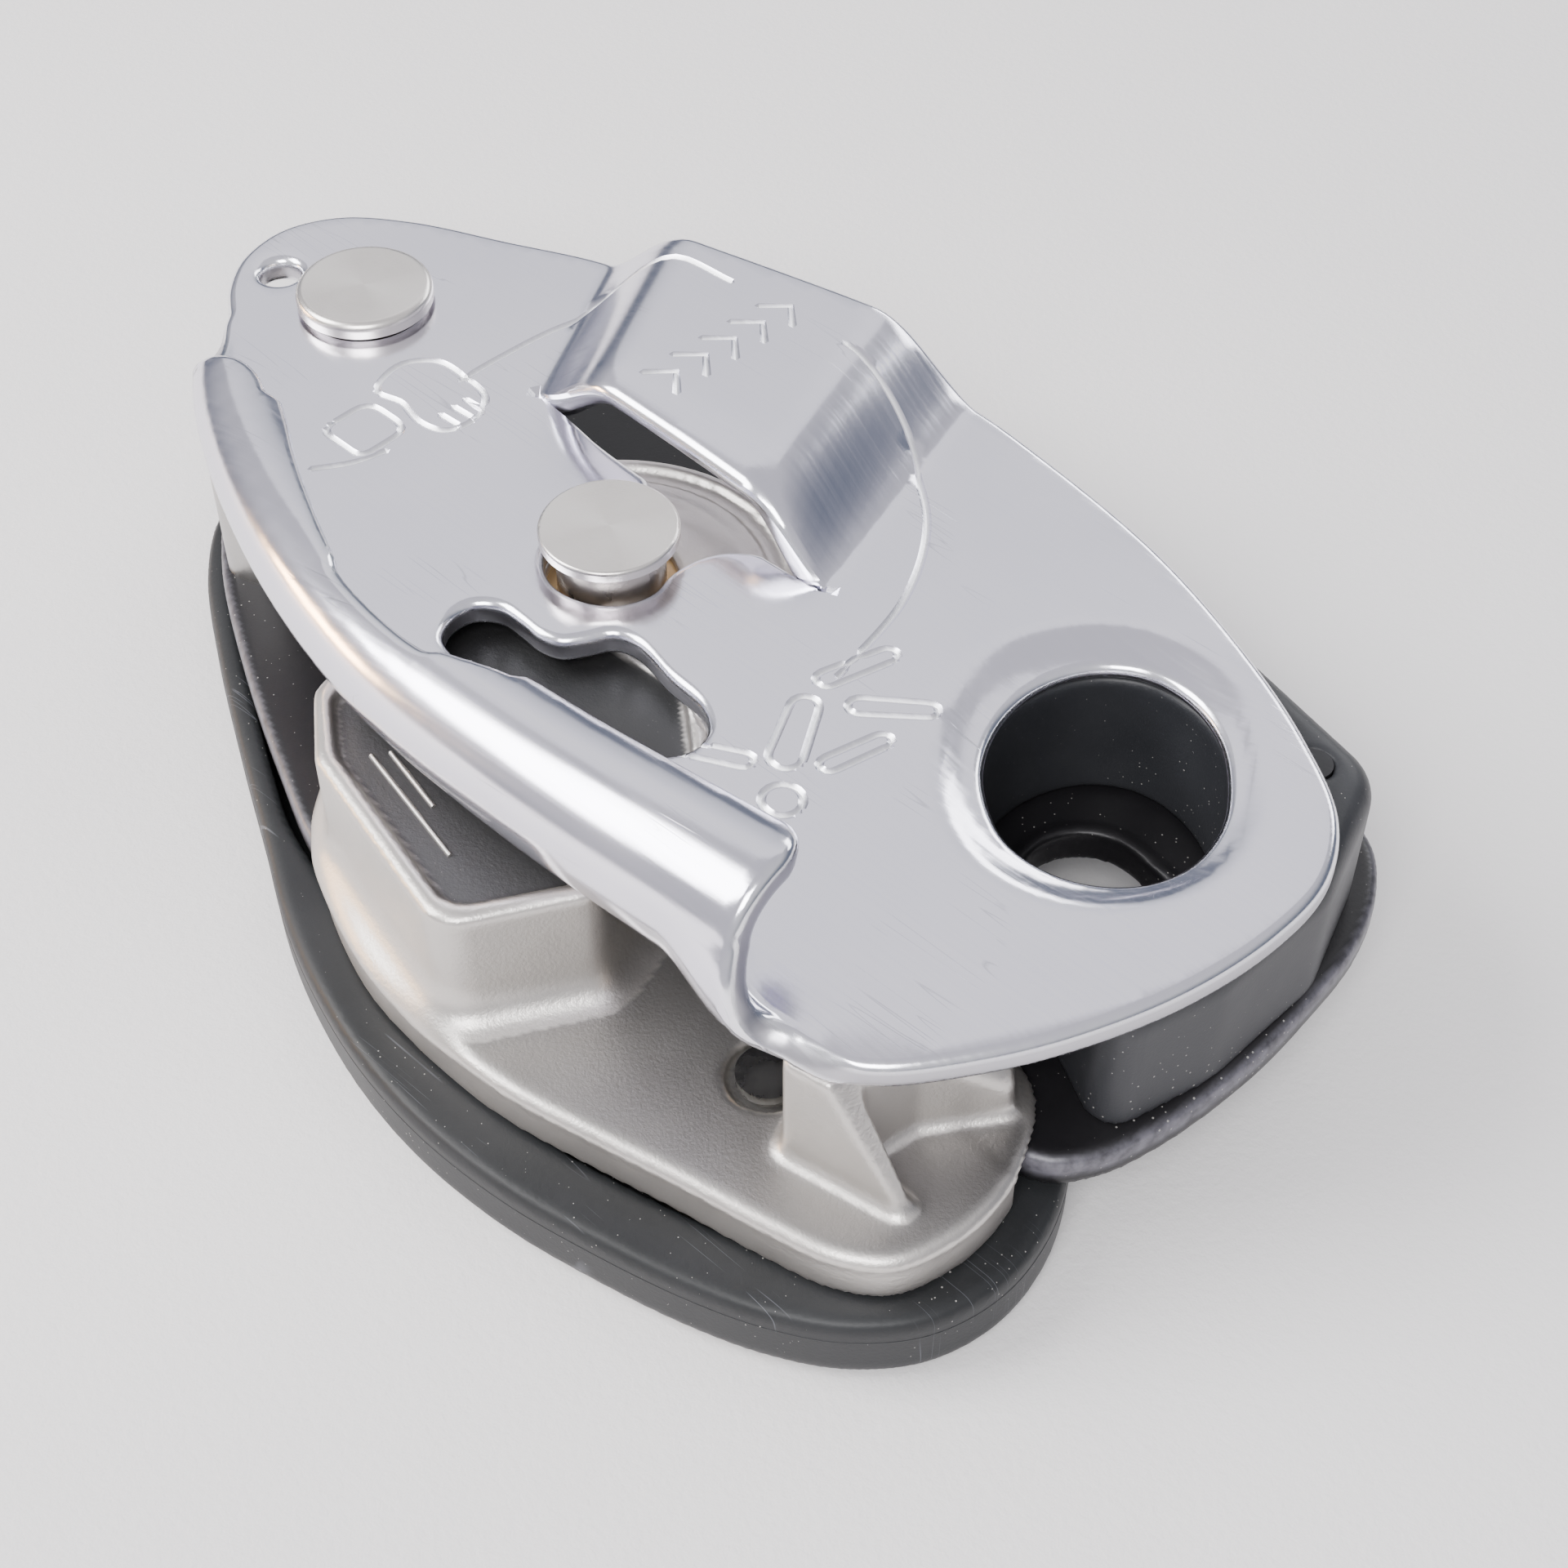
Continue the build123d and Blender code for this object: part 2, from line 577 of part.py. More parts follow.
with BuildPart() as handle_shell:
    with BuildSketch(Plane.XY.offset(HANDLE_BOTTOM)):
        add(handle_outline())
    extrude(amount=HANDLE_TOP - HANDLE_BOTTOM)
    with BuildSketch(Plane.XY.offset(HANDLE_BOTTOM + HANDLE_FLOOR_T)):
        add(handle_outline(HANDLE_WALL))
        with Locations(FOOT_PIN):
            Circle(HUB_R, mode=Mode.SUBTRACT)
    extrude(amount=HANDLE_TOP - HANDLE_BOTTOM, mode=Mode.SUBTRACT)
    with BuildSketch(Plane.XY.offset(HUB_TOP)):
        with Locations(FOOT_PIN):
            Circle(HUB_R + HUB_CLEAR)
    extrude(amount=HANDLE_TOP - HUB_TOP, mode=Mode.SUBTRACT)
    with BuildSketch(Plane.XY.offset(HANDLE_BOTTOM)):
        with Locations(FOOT_PIN):
            Circle(PIN_R + RUN_CLEAR)
    extrude(amount=HANDLE_TOP - HANDLE_BOTTOM, mode=Mode.SUBTRACT)
    with BuildSketch(Plane.XY.offset(HANDLE_BOTTOM)):
        with Locations(FOOT_PIN):
            Circle(HUB_SEAT_R)
    extrude(amount=HUB_SEAT - HANDLE_BOTTOM, mode=Mode.SUBTRACT)
handle_shell.part.label = "handle_shell"
export_step(handle_shell.part, "parts/handle_shell.step")

with BuildPart() as handle_arm:
    with BuildSketch(Plane.XY.offset(HANDLE_BOTTOM + HANDLE_FLOOR_T)):
        with BuildLine():
            Polyline(
                (-6.4, -35.5), (-22.0, -39.0), (-40.0, -36.8), (-60.5, -28.8), (-59.5, -26.2),
                (-40.0, -29.6), (-22.0, -27.5), (-6.4, -24.0), close=True,
            )
        strip = make_face()
        fillet(strip.vertices(), ARM_CORNER_R)
        with Locations(FOOT_PIN):
            Circle(ARM_EYE_R)
            Circle(HUB_R + RUN_CLEAR, mode=Mode.SUBTRACT)
    extrude(amount=ARM_T)
handle_arm.part.label = "handle_arm"
export_step(handle_arm.part, "parts/handle_arm.step")

PIN_HEAD_TOP = FLOOR_TOP - PIN_HEAD_SINK
PIN_HEAD_BOTTOM = FLOOR_TOP - PIN_RECESS_DEPTH
with BuildPart() as handle_pin:
    add(cylinder_at(FOOT_PIN, PIN_R, HUB_SEAT - WASHER_T - PIN_TAIL_T, PIN_HEAD_BOTTOM))
    add(cylinder_at(FOOT_PIN, PIN_HEAD_R, PIN_HEAD_BOTTOM, PIN_HEAD_TOP))
    add(cylinder_at(FOOT_PIN, PIN_HEAD_R, HUB_SEAT - WASHER_T - PIN_TAIL_T, HUB_SEAT - WASHER_T))
handle_pin.part.label = "handle_pin"
export_step(handle_pin.part, "parts/handle_pin.step")

handle_washer = flat_washer(FOOT_PIN, PIN_R, PIN_WASHER_R, HUB_SEAT - WASHER_T, WASHER_T)
handle_washer.label = "handle_washer"
export_step(handle_washer, "parts/handle_washer.step")

handle_spring = coil_spring(
    FOOT_PIN, HANDLE_SPRING_R, HUB_TOP + HANDLE_SPRING_LIFT, HANDLE_SPRING_TURNS, HANDLE_SPRING_PITCH)
handle_spring.label = "handle_spring"
export_step(handle_spring, "parts/handle_spring.step")
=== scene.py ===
import logging
import math
from dataclasses import dataclass
from enum import Enum
from typing import ClassVar, Iterable, Optional, Sequence, Union

import bmesh
import bpy
import numpy as np
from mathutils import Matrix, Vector
from mathutils.geometry import delaunay_2d_cdt


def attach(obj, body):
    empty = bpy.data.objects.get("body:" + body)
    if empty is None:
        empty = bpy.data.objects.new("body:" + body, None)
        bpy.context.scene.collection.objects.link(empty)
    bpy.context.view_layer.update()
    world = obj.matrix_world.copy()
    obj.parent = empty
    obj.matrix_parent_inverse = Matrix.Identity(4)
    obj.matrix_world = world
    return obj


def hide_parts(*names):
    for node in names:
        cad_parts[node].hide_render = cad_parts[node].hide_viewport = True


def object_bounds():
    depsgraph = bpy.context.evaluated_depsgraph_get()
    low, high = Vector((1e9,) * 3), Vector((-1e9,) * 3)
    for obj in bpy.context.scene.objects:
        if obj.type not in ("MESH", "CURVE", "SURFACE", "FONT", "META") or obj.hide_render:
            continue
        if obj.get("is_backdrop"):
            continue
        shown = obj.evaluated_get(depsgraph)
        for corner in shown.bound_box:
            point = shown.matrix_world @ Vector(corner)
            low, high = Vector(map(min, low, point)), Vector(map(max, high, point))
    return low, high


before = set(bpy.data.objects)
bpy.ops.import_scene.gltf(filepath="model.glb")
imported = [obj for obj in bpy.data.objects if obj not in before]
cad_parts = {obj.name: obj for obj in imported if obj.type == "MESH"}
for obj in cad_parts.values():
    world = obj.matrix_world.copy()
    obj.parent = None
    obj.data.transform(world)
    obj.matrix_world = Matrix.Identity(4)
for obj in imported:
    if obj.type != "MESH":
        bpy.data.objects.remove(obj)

# Rope descender: polished moving plate with a dome and a rolled rope lip, blasted cam casting,
# black fixed plate, moulded spacer and handle. All sizes here are millimetres until a mesh is
# made, in the part's own frame: x = y = 0 on the attachment hole, z = 0 on the back plate's face.

MM = 0.001
LOG = logging.getLogger("descender")
Points = Sequence[Sequence[float]]
Triple = tuple[float, float, float]
Piece = bpy.types.Object
Socket = bpy.types.NodeSocket
Input = Union[float, Socket]
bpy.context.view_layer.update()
SPAN_SAMPLES = 24
MERGE_WITHIN = 2e-6

# The attachment hole's outline in the moving plate, which the spacer's hole follows.
EYE: Points = (
    (-7.0, -4.9), (-9.4, -0.8), (-10.1, 3.4), (-9.4, 7.0), (-7.6, 9.8), (-4.9, 11.5),
    (-1.3, 11.7), (2.6, 10.2), (5.8, 7.2), (8.2, 3.2), (8.8, -1.1), (7.6, -4.6), (5.1, -7.1),
    (1.9, -8.4), (-2.2, -8.2),
)


# ---------------------------------------------------------------- outlines and distances
def runs(line: np.ndarray) -> np.ndarray:
    """The distance run along a line, at each of its points."""
    return np.r_[0, np.cumsum(np.linalg.norm(np.diff(line, axis=0), axis=1))]


def directions(line: np.ndarray, closed: bool) -> np.ndarray:
    """A line's unit directions at its points.

    Args:
        line: The line's x, y rows.
        closed: Whether the line closes on itself.

    Returns:
        An x, y row for each point.
    """
    if closed:
        way = np.roll(line, -1, axis=0) - np.roll(line, 1, axis=0)
    else:
        way = np.gradient(line, axis=0)
    return way / np.linalg.norm(way, axis=1)[:, None]


def smooth_line(points: Points, closed: bool = False, step: float = 0.6) -> np.ndarray:
    """Draws a smooth curve through points and samples it evenly.

    Args:
        points: The places that the curve goes through, in millimetres.
        closed: Whether the curve comes back to its first point.
        step: The distance between samples.

    Returns:
        An array of x, y rows (the first point isn't repeated on a closed curve).
    """
    p = np.asarray(points, float)
    if closed:
        p = np.vstack([p[-1], p, p[0], p[1]])
    else:
        p = np.vstack([2 * p[0] - p[1], p, 2 * p[-1] - p[-2]])
    out = []
    for a, b, c, d in zip(p, p[1:], p[2:], p[3:]):
        t1 = max(np.linalg.norm(b - a), 1e-6) ** 0.5
        t2 = t1 + max(np.linalg.norm(c - b), 1e-6) ** 0.5
        t3 = t2 + max(np.linalg.norm(d - c), 1e-6) ** 0.5
        t = np.linspace(t1, t2, SPAN_SAMPLES, endpoint=False)[:, None]
        ab = (t1 - t) / t1 * a + t / t1 * b
        bc = (t2 - t) / (t2 - t1) * b + (t - t1) / (t2 - t1) * c
        cd = (t3 - t) / (t3 - t2) * c + (t - t2) / (t3 - t2) * d
        abc = (t2 - t) / t2 * ab + t / t2 * bc
        bcd = (t3 - t) / (t3 - t1) * bc + (t - t1) / (t3 - t1) * cd
        out.append((t2 - t) / (t2 - t1) * abc + (t - t1) / (t2 - t1) * bcd)
    line = np.vstack(out + [p[-2][None]])
    run = runs(line)
    count = max(int(run[-1] / step), 4)
    at = np.linspace(0, run[-1], count + 1)
    even = np.stack([np.interp(at, run, line[:, k]) for k in range(line.shape[1])], axis=1)
    return even[:-1] if closed else even


def rounded_loop(corners: Sequence[Triple], step: float = 0.5) -> np.ndarray:
    """A closed polygon with each corner rounded.

    Args:
        corners: x, y and the corner's radius, counter-clockwise or clockwise.
        step: The distance between samples on the arcs.

    Returns:
        The loop's x, y rows.
    """
    out = []
    count = len(corners)
    for k, (x, y, radius) in enumerate(corners):
        here = np.array([x, y], float)
        to_last = np.array(corners[k - 1][:2], float) - here
        to_next = np.array(corners[(k + 1) % count][:2], float) - here
        to_last /= np.linalg.norm(to_last)
        to_next /= np.linalg.norm(to_next)
        half = math.acos(max(-1.0, min(1.0, float(to_last @ to_next)))) / 2
        set_back = radius / math.tan(half)
        start, end = here + to_last * set_back, here + to_next * set_back
        middle = (to_last + to_next) / np.linalg.norm(to_last + to_next)
        centre = here + middle * radius / math.sin(half)
        a0 = math.atan2(*(start - centre)[::-1])
        a1 = math.atan2(*(end - centre)[::-1])
        turn = (a1 - a0 + math.pi) % (2 * math.pi) - math.pi
        steps = max(int(abs(turn) * radius / step), 3)
        for s in range(steps + 1):
            a = a0 + turn * s / steps
            out.append(centre + radius * np.array([math.cos(a), math.sin(a)]))
    return resample(np.array(out), step)


def resample(loop: np.ndarray, step: float) -> np.ndarray:
    """A closed loop with evenly spaced samples.

    Args:
        loop: The loop's x, y rows.
        step: The distance between samples.

    Returns:
        The new x, y rows.
    """
    closed = np.vstack([loop, loop[:1]])
    run = runs(closed)
    at = np.linspace(0, run[-1], max(int(run[-1] / step), 8), endpoint=False)
    return np.stack([np.interp(at, run, closed[:, k]) for k in (0, 1)], axis=1)


def hull_of_circles(circles: Sequence[Triple]) -> np.ndarray:
    """The outline of the convex hull of circles.

    Args:
        circles: x, y and radius of each circle.

    Returns:
        The outline's x, y rows.
    """
    turn = np.linspace(0, 2 * math.pi, 240, endpoint=False)
    ways = np.stack([np.cos(turn), np.sin(turn)], axis=1)
    centres = np.array([c[:2] for c in circles])
    radii = np.array([c[2] for c in circles])
    reach = ways @ centres.T + radii
    which = reach.argmax(axis=1)
    return resample(centres[which] + ways * radii[which][:, None], 0.5)


@dataclass
class Nearest:
    """Where places lie against a line: distance, run along it, and its nearest point."""

    distance: np.ndarray
    run: np.ndarray
    foot: np.ndarray


def nearest(places: np.ndarray, line: np.ndarray, closed: bool) -> Nearest:
    """Finds the nearest point of a line for each place.

    Args:
        places: x, y rows.
        line: The line's x, y rows.
        closed: Whether the line closes on itself.

    Returns:
        The distances, runs along the line, and nearest points.
    """
    a = line if closed else line[:-1]
    b = np.roll(line, -1, axis=0) if closed else line[1:]
    ab = b - a
    length = np.linalg.norm(ab, axis=1)
    start = np.r_[0, np.cumsum(length)][:-1]
    best = [], [], []
    for part in np.array_split(places, max(len(places) // 4000, 1)):
        rel = part[:, None, :] - a[None]
        share = np.clip((rel * ab).sum(-1) / np.maximum(length**2, 1e-12), 0, 1)
        foot = a + share[..., None] * ab
        gap = np.linalg.norm(part[:, None, :] - foot, axis=-1)
        k = gap.argmin(axis=1)
        row = np.arange(len(part))
        best[0].append(gap[row, k])
        best[1].append(start[k] + share[row, k] * length[k])
        best[2].append(foot[row, k])
    return Nearest(np.concatenate(best[0]), np.concatenate(best[1]), np.concatenate(best[2]))


def inside(places: np.ndarray, loop: np.ndarray) -> np.ndarray:
    """Whether each place is inside a closed loop.

    Args:
        places: x, y rows.
        loop: The loop's x, y rows.

    Returns:
        A truth value for each place.
    """
    result = np.zeros(len(places), bool)
    x, y = places[:, 0], places[:, 1]
    for (x0, y0), (x1, y1) in zip(loop, np.roll(loop, -1, axis=0)):
        if y0 == y1:
            continue
        crosses = (y0 > y) != (y1 > y)
        result ^= crosses & (x < (x1 - x0) * (y - y0) / (y1 - y0) + x0)
    return result


def smoothstep(low: float, high: float, value: np.ndarray) -> np.ndarray:
    """A smooth ramp from 0 at low to 1 at high."""
    t = np.clip((value - low) / (high - low), 0, 1)
    return t * t * (3 - 2 * t)


# ---------------------------------------------------------------- meshes
def keep_values(mesh: bpy.types.Mesh, name: str, value: np.ndarray) -> None:
    """Keeps a number on each vertex, for a finish to read."""
    attribute = mesh.attributes.new(name, "FLOAT", "POINT")
    attribute.data.foreach_set("value", value.astype(np.float32))


def vertex_rows(mesh: bpy.types.Mesh, kind: str) -> np.ndarray:
    """A mesh's vertex places or normals.

    Args:
        mesh: The mesh.
        kind: "co" for places or "normal" for normals.

    Returns:
        x, y, z rows, in metres for places.
    """
    rows = np.zeros(len(mesh.vertices) * 3, np.float32)
    mesh.vertices.foreach_get(kind, rows)
    return rows.reshape(-1, 3)


def make_piece(name: str, verts: np.ndarray, faces: Iterable[Sequence[int]], sharp: float,
               values: Optional[dict[str, np.ndarray]] = None) -> Piece:
    """Makes a smooth-shaded mesh object from millimetre points.

    Args:
        name: The piece's name.
        verts: x, y, z rows in millimetres.
        faces: Vertex numbers of each face.
        sharp: The angle in degrees past which an edge stays sharp.
        values: Named numbers to keep on the vertices for the finish.

    Returns:
        The linked object, at the origin.
    """
    mesh = bpy.data.meshes.new(name)
    mesh.from_pydata((np.asarray(verts) * MM).tolist(), [], [list(map(int, f)) for f in faces])
    for key, value in (values or {}).items():
        keep_values(mesh, key, value)
    mesh.validate()
    return finish_mesh(name, mesh, sharp)


def finish_mesh(name: str, mesh: bpy.types.Mesh, sharp: float) -> Piece:
    """Merges doubles, turns faces outward, shades smooth, and links an object.

    Args:
        name: The piece's name.
        mesh: Its mesh.
        sharp: The angle in degrees past which an edge stays sharp.

    Returns:
        The linked object, at the origin.
    """
    work = bmesh.new()
    work.from_mesh(mesh)
    bmesh.ops.remove_doubles(work, verts=work.verts, dist=MERGE_WITHIN)
    bmesh.ops.recalc_face_normals(work, faces=work.faces)
    work.to_mesh(mesh)
    work.free()
    mesh.shade_smooth()
    mesh.set_sharp_from_angle(angle=math.radians(sharp))
    piece = bpy.data.objects.new(name, mesh)
    bpy.context.scene.collection.objects.link(piece)
    return piece


def dress(piece: Piece, material: bpy.types.Material) -> None:
    """Gives a piece one material."""
    piece.data.materials.clear()
    piece.data.materials.append(material)


def surface_nets(
    values: np.ndarray, origin: np.ndarray, step: float
) -> tuple[np.ndarray, np.ndarray]:
    """Turns a distance field into a closed surface of quads.

    Args:
        values: Signed distances on a grid, negative inside.
        origin: The place of the grid's first node.
        step: The grid's spacing.

    Returns:
        Vertices and quads.
    """
    solid = values < 0
    cells = tuple(n - 1 for n in values.shape)
    total = np.zeros(cells + (3,), np.float32)
    hits = np.zeros(cells, np.float32)
    for axis in range(3):
        others = [k for k in range(3) if k != axis]
        for s0 in (0, 1):
            for s1 in (0, 1):
                low, high = [0, 0, 0], [0, 0, 0]
                low[others[0]] = high[others[0]] = s0
                low[others[1]] = high[others[1]] = s1
                high[axis] = 1
                a = values[tuple(slice(o, o + n) for o, n in zip(low, cells))]
                b = values[tuple(slice(o, o + n) for o, n in zip(high, cells))]
                cross = (a < 0) != (b < 0)
                share = np.where(cross, a / np.where(cross, a - b, 1), 0)
                hits += cross
                for k in range(3):
                    total[..., k] += np.where(cross, low[k] + (share if k == axis else 0), 0)
    active = hits > 0
    number = np.full(cells, -1, np.int64)
    number[active] = np.arange(active.sum())
    index = np.argwhere(active)
    verts = (index + total[active] / hits[active][:, None]) * step + origin
    quads = []
    for axis in range(3):
        u, v = [k for k in range(3) if k != axis]
        a = [slice(None)] * 3
        b = [slice(None)] * 3
        a[axis], b[axis] = slice(0, -1), slice(1, None)
        first, second = solid[tuple(a)], solid[tuple(b)]
        where = np.argwhere(first != second)
        keep = (where[:, u] > 0) & (where[:, v] > 0)
        keep &= (where[:, u] < cells[u]) & (where[:, v] < cells[v])
        where = where[keep]
        ring = []
        for du, dv in ((-1, -1), (0, -1), (0, 0), (-1, 0)):
            at = where.copy()
            at[:, u] += du
            at[:, v] += dv
            ring.append(number[at[:, 0], at[:, 1], at[:, 2]])
        quad = np.stack(ring, axis=1)
        flip = first[where[:, 0], where[:, 1], where[:, 2]] ^ (axis == 1)
        quad[~flip] = quad[~flip][:, ::-1]
        quads.append(quad)
    return verts, np.vstack(quads)


def soft_union(a: np.ndarray, b: np.ndarray, fillet: float) -> np.ndarray:
    """Joins two distance fields with a fillet."""
    h = np.clip(fillet - np.abs(a - b), 0, None) / fillet
    return np.minimum(a, b) - h * h * fillet / 4


def soft_cut(a: np.ndarray, b: np.ndarray, fillet: float) -> np.ndarray:
    """Cuts field b out of field a with a softened edge."""
    return -soft_union(-a, b, fillet)


@dataclass
class Casting:
    """A distance field on a grid, in which moulded and cast shapes are made."""

    low: Triple
    high: Triple
    step: float

    def __post_init__(self) -> None:
        """Lays out the grid."""
        axes = [np.arange(a, b + self.step, self.step) for a, b in zip(self.low, self.high)]
        self.x, self.y, self.z = [a.astype(np.float32) for a in axes]
        gx, gy = np.meshgrid(self.x, self.y, indexing="ij")
        self.plan = np.stack([gx.ravel(), gy.ravel()], axis=1)
        self.shape = gx.shape

    def outline(self, loop: np.ndarray) -> np.ndarray:
        """The signed plan distance to a closed loop, as a grid of one layer.

        Args:
            loop: The loop's x, y rows.

        Returns:
            Distances in millimetres, negative inside.
        """
        gap = nearest(self.plan, loop, True).distance
        gap = np.where(inside(self.plan, loop), -gap, gap)
        return gap.reshape(self.shape)[:, :, None].astype(np.float32)

    def circle(self, centre: Sequence[float], radius: float) -> np.ndarray:
        """The plan distance to a circle, as a grid of one layer."""
        gap = np.hypot(self.plan[:, 0] - centre[0], self.plan[:, 1] - centre[1]) - radius
        return gap.reshape(self.shape)[:, :, None].astype(np.float32)

    def prism(
        self, plan: np.ndarray, z_low: float, z_high: float, top: float, foot: float = 0.0
    ) -> np.ndarray:
        """An upright prism with rounded edges.

        Args:
            plan: The plan distance, as a grid of one layer.
            z_low: The height of its foot.
            z_high: The height of its top.
            top: The radius of its top edge.
            foot: The radius of its bottom edge.

        Returns:
            The prism's distance field.
        """
        z = self.z[None, None, :]
        middle = (z_low + z_high) / 2
        radius = np.where(z > middle, max(top, 1e-3), max(foot, 1e-3)).astype(np.float32)
        dz = np.where(z > middle, z - z_high, z_low - z) + radius
        d = plan + radius
        outer = np.hypot(np.maximum(d, 0), np.maximum(dz, 0))
        return (outer + np.minimum(np.maximum(d, dz), 0) - radius).astype(np.float32)

    def piece(self, name: str, values: np.ndarray, sharp: float = 60.0) -> Piece:
        """Makes the field's surface an object.

        Args:
            name: The piece's name.
            values: The distance field.
            sharp: The angle in degrees past which an edge stays sharp.

        Returns:
            The field's surface as a linked object.
        """
        values = values.copy()
        for axis in range(3):
            edge = [slice(None)] * 3
            for end in (0, -1):
                edge[axis] = end
                values[tuple(edge)] = np.maximum(values[tuple(edge)], 0.3 * self.step)
        verts, quads = surface_nets(values, np.array([self.x[0], self.y[0], self.z[0]]), self.step)
        return make_piece(name, verts, quads, sharp)


# ---------------------------------------------------------------- finishes
class Book:
    """Builds one node material, a node at a time."""

    def __init__(self, name: str) -> None:
        """Starts an empty material with a Principled shader.

        Args:
            name: The material's name.
        """
        self.material = bpy.data.materials.new(name)
        self.material.use_nodes = True
        self.tree = self.material.node_tree
        self.shader = next(n for n in self.tree.nodes if n.type == "BSDF_PRINCIPLED")
        self.place = self.tree.nodes.new("ShaderNodeTexCoord").outputs["Object"]

    def node(self, kind: str, settings: Optional[dict] = None, **inputs: Input) -> bpy.types.Node:
        """Adds a node.

        Args:
            kind: The node type's name after ShaderNode.
            settings: Node properties to set.
            **inputs: Values or sockets for inputs, by name or by iN for a number.

        Returns:
            The node.
        """
        made = self.tree.nodes.new("ShaderNode" + kind)
        for key, value in (settings or {}).items():
            setattr(made, key, value)
        for key, value in inputs.items():
            number = key[0] == "i" and key[1:].isdigit()
            socket = made.inputs[int(key[1:])] if number else made.inputs[key.replace("_", " ")]
            if isinstance(value, Socket):
                self.tree.links.new(value, socket)
            else:
                socket.default_value = value
        return made

    def maths(self, operation: str, a: Input, b: Input = 0.0, c: Input = 0.0) -> Socket:
        """The output of a Math node."""
        return self.node("Math", {"operation": operation}, i0=a, i1=b, i2=c).outputs[0]

    def scaled(self, scale: Sequence[float], turn: float) -> Socket:
        """The object's coordinates, turned about Z and scaled."""
        made = self.node("Mapping", Vector=self.place, Scale=scale, Rotation=(0, 0, turn))
        return made.outputs[0]

    def noise(self, where: Socket, scale: float, detail: float, rough: float = 0.55) -> Socket:
        """A noise texture's value."""
        return self.node(
            "TexNoise", Vector=where, Scale=scale, Detail=detail, Roughness=rough
        ).outputs[0]

    def ramp(
        self, value: Socket, low: float, high: float, start: float = 0.0, end: float = 1.0
    ) -> Socket:
        """Maps a value from low..high to start..end, clamped."""
        return self.node(
            "MapRange", Value=value, From_Min=low, From_Max=high, To_Min=start, To_Max=end
        ).outputs[0]

    def mix(self, share: Input, a: Union[Triple, Socket], b: Union[Triple, Socket]) -> Socket:
        """Mixes two colours.

        Args:
            share: How much of the second colour shows.
            a: The first colour.
            b: The second colour.

        Returns:
            The mixed colour.
        """
        made = self.node("Mix", {"data_type": "RGBA"}, i0=share)
        for socket, value in ((made.inputs[6], a), (made.inputs[7], b)):
            if isinstance(value, Socket):
                self.tree.links.new(value, socket)
            else:
                socket.default_value = (*value, 1.0)
        return made.outputs[2]

    def set(self, name: str, value: Input) -> None:
        """Sets or links one of the shader's inputs.

        Args:
            name: The input's name.
            value: A number to set or a socket to link.
        """
        socket = self.shader.inputs[name]
        if isinstance(value, Socket):
            self.tree.links.new(value, socket)
        else:
            socket.default_value = value


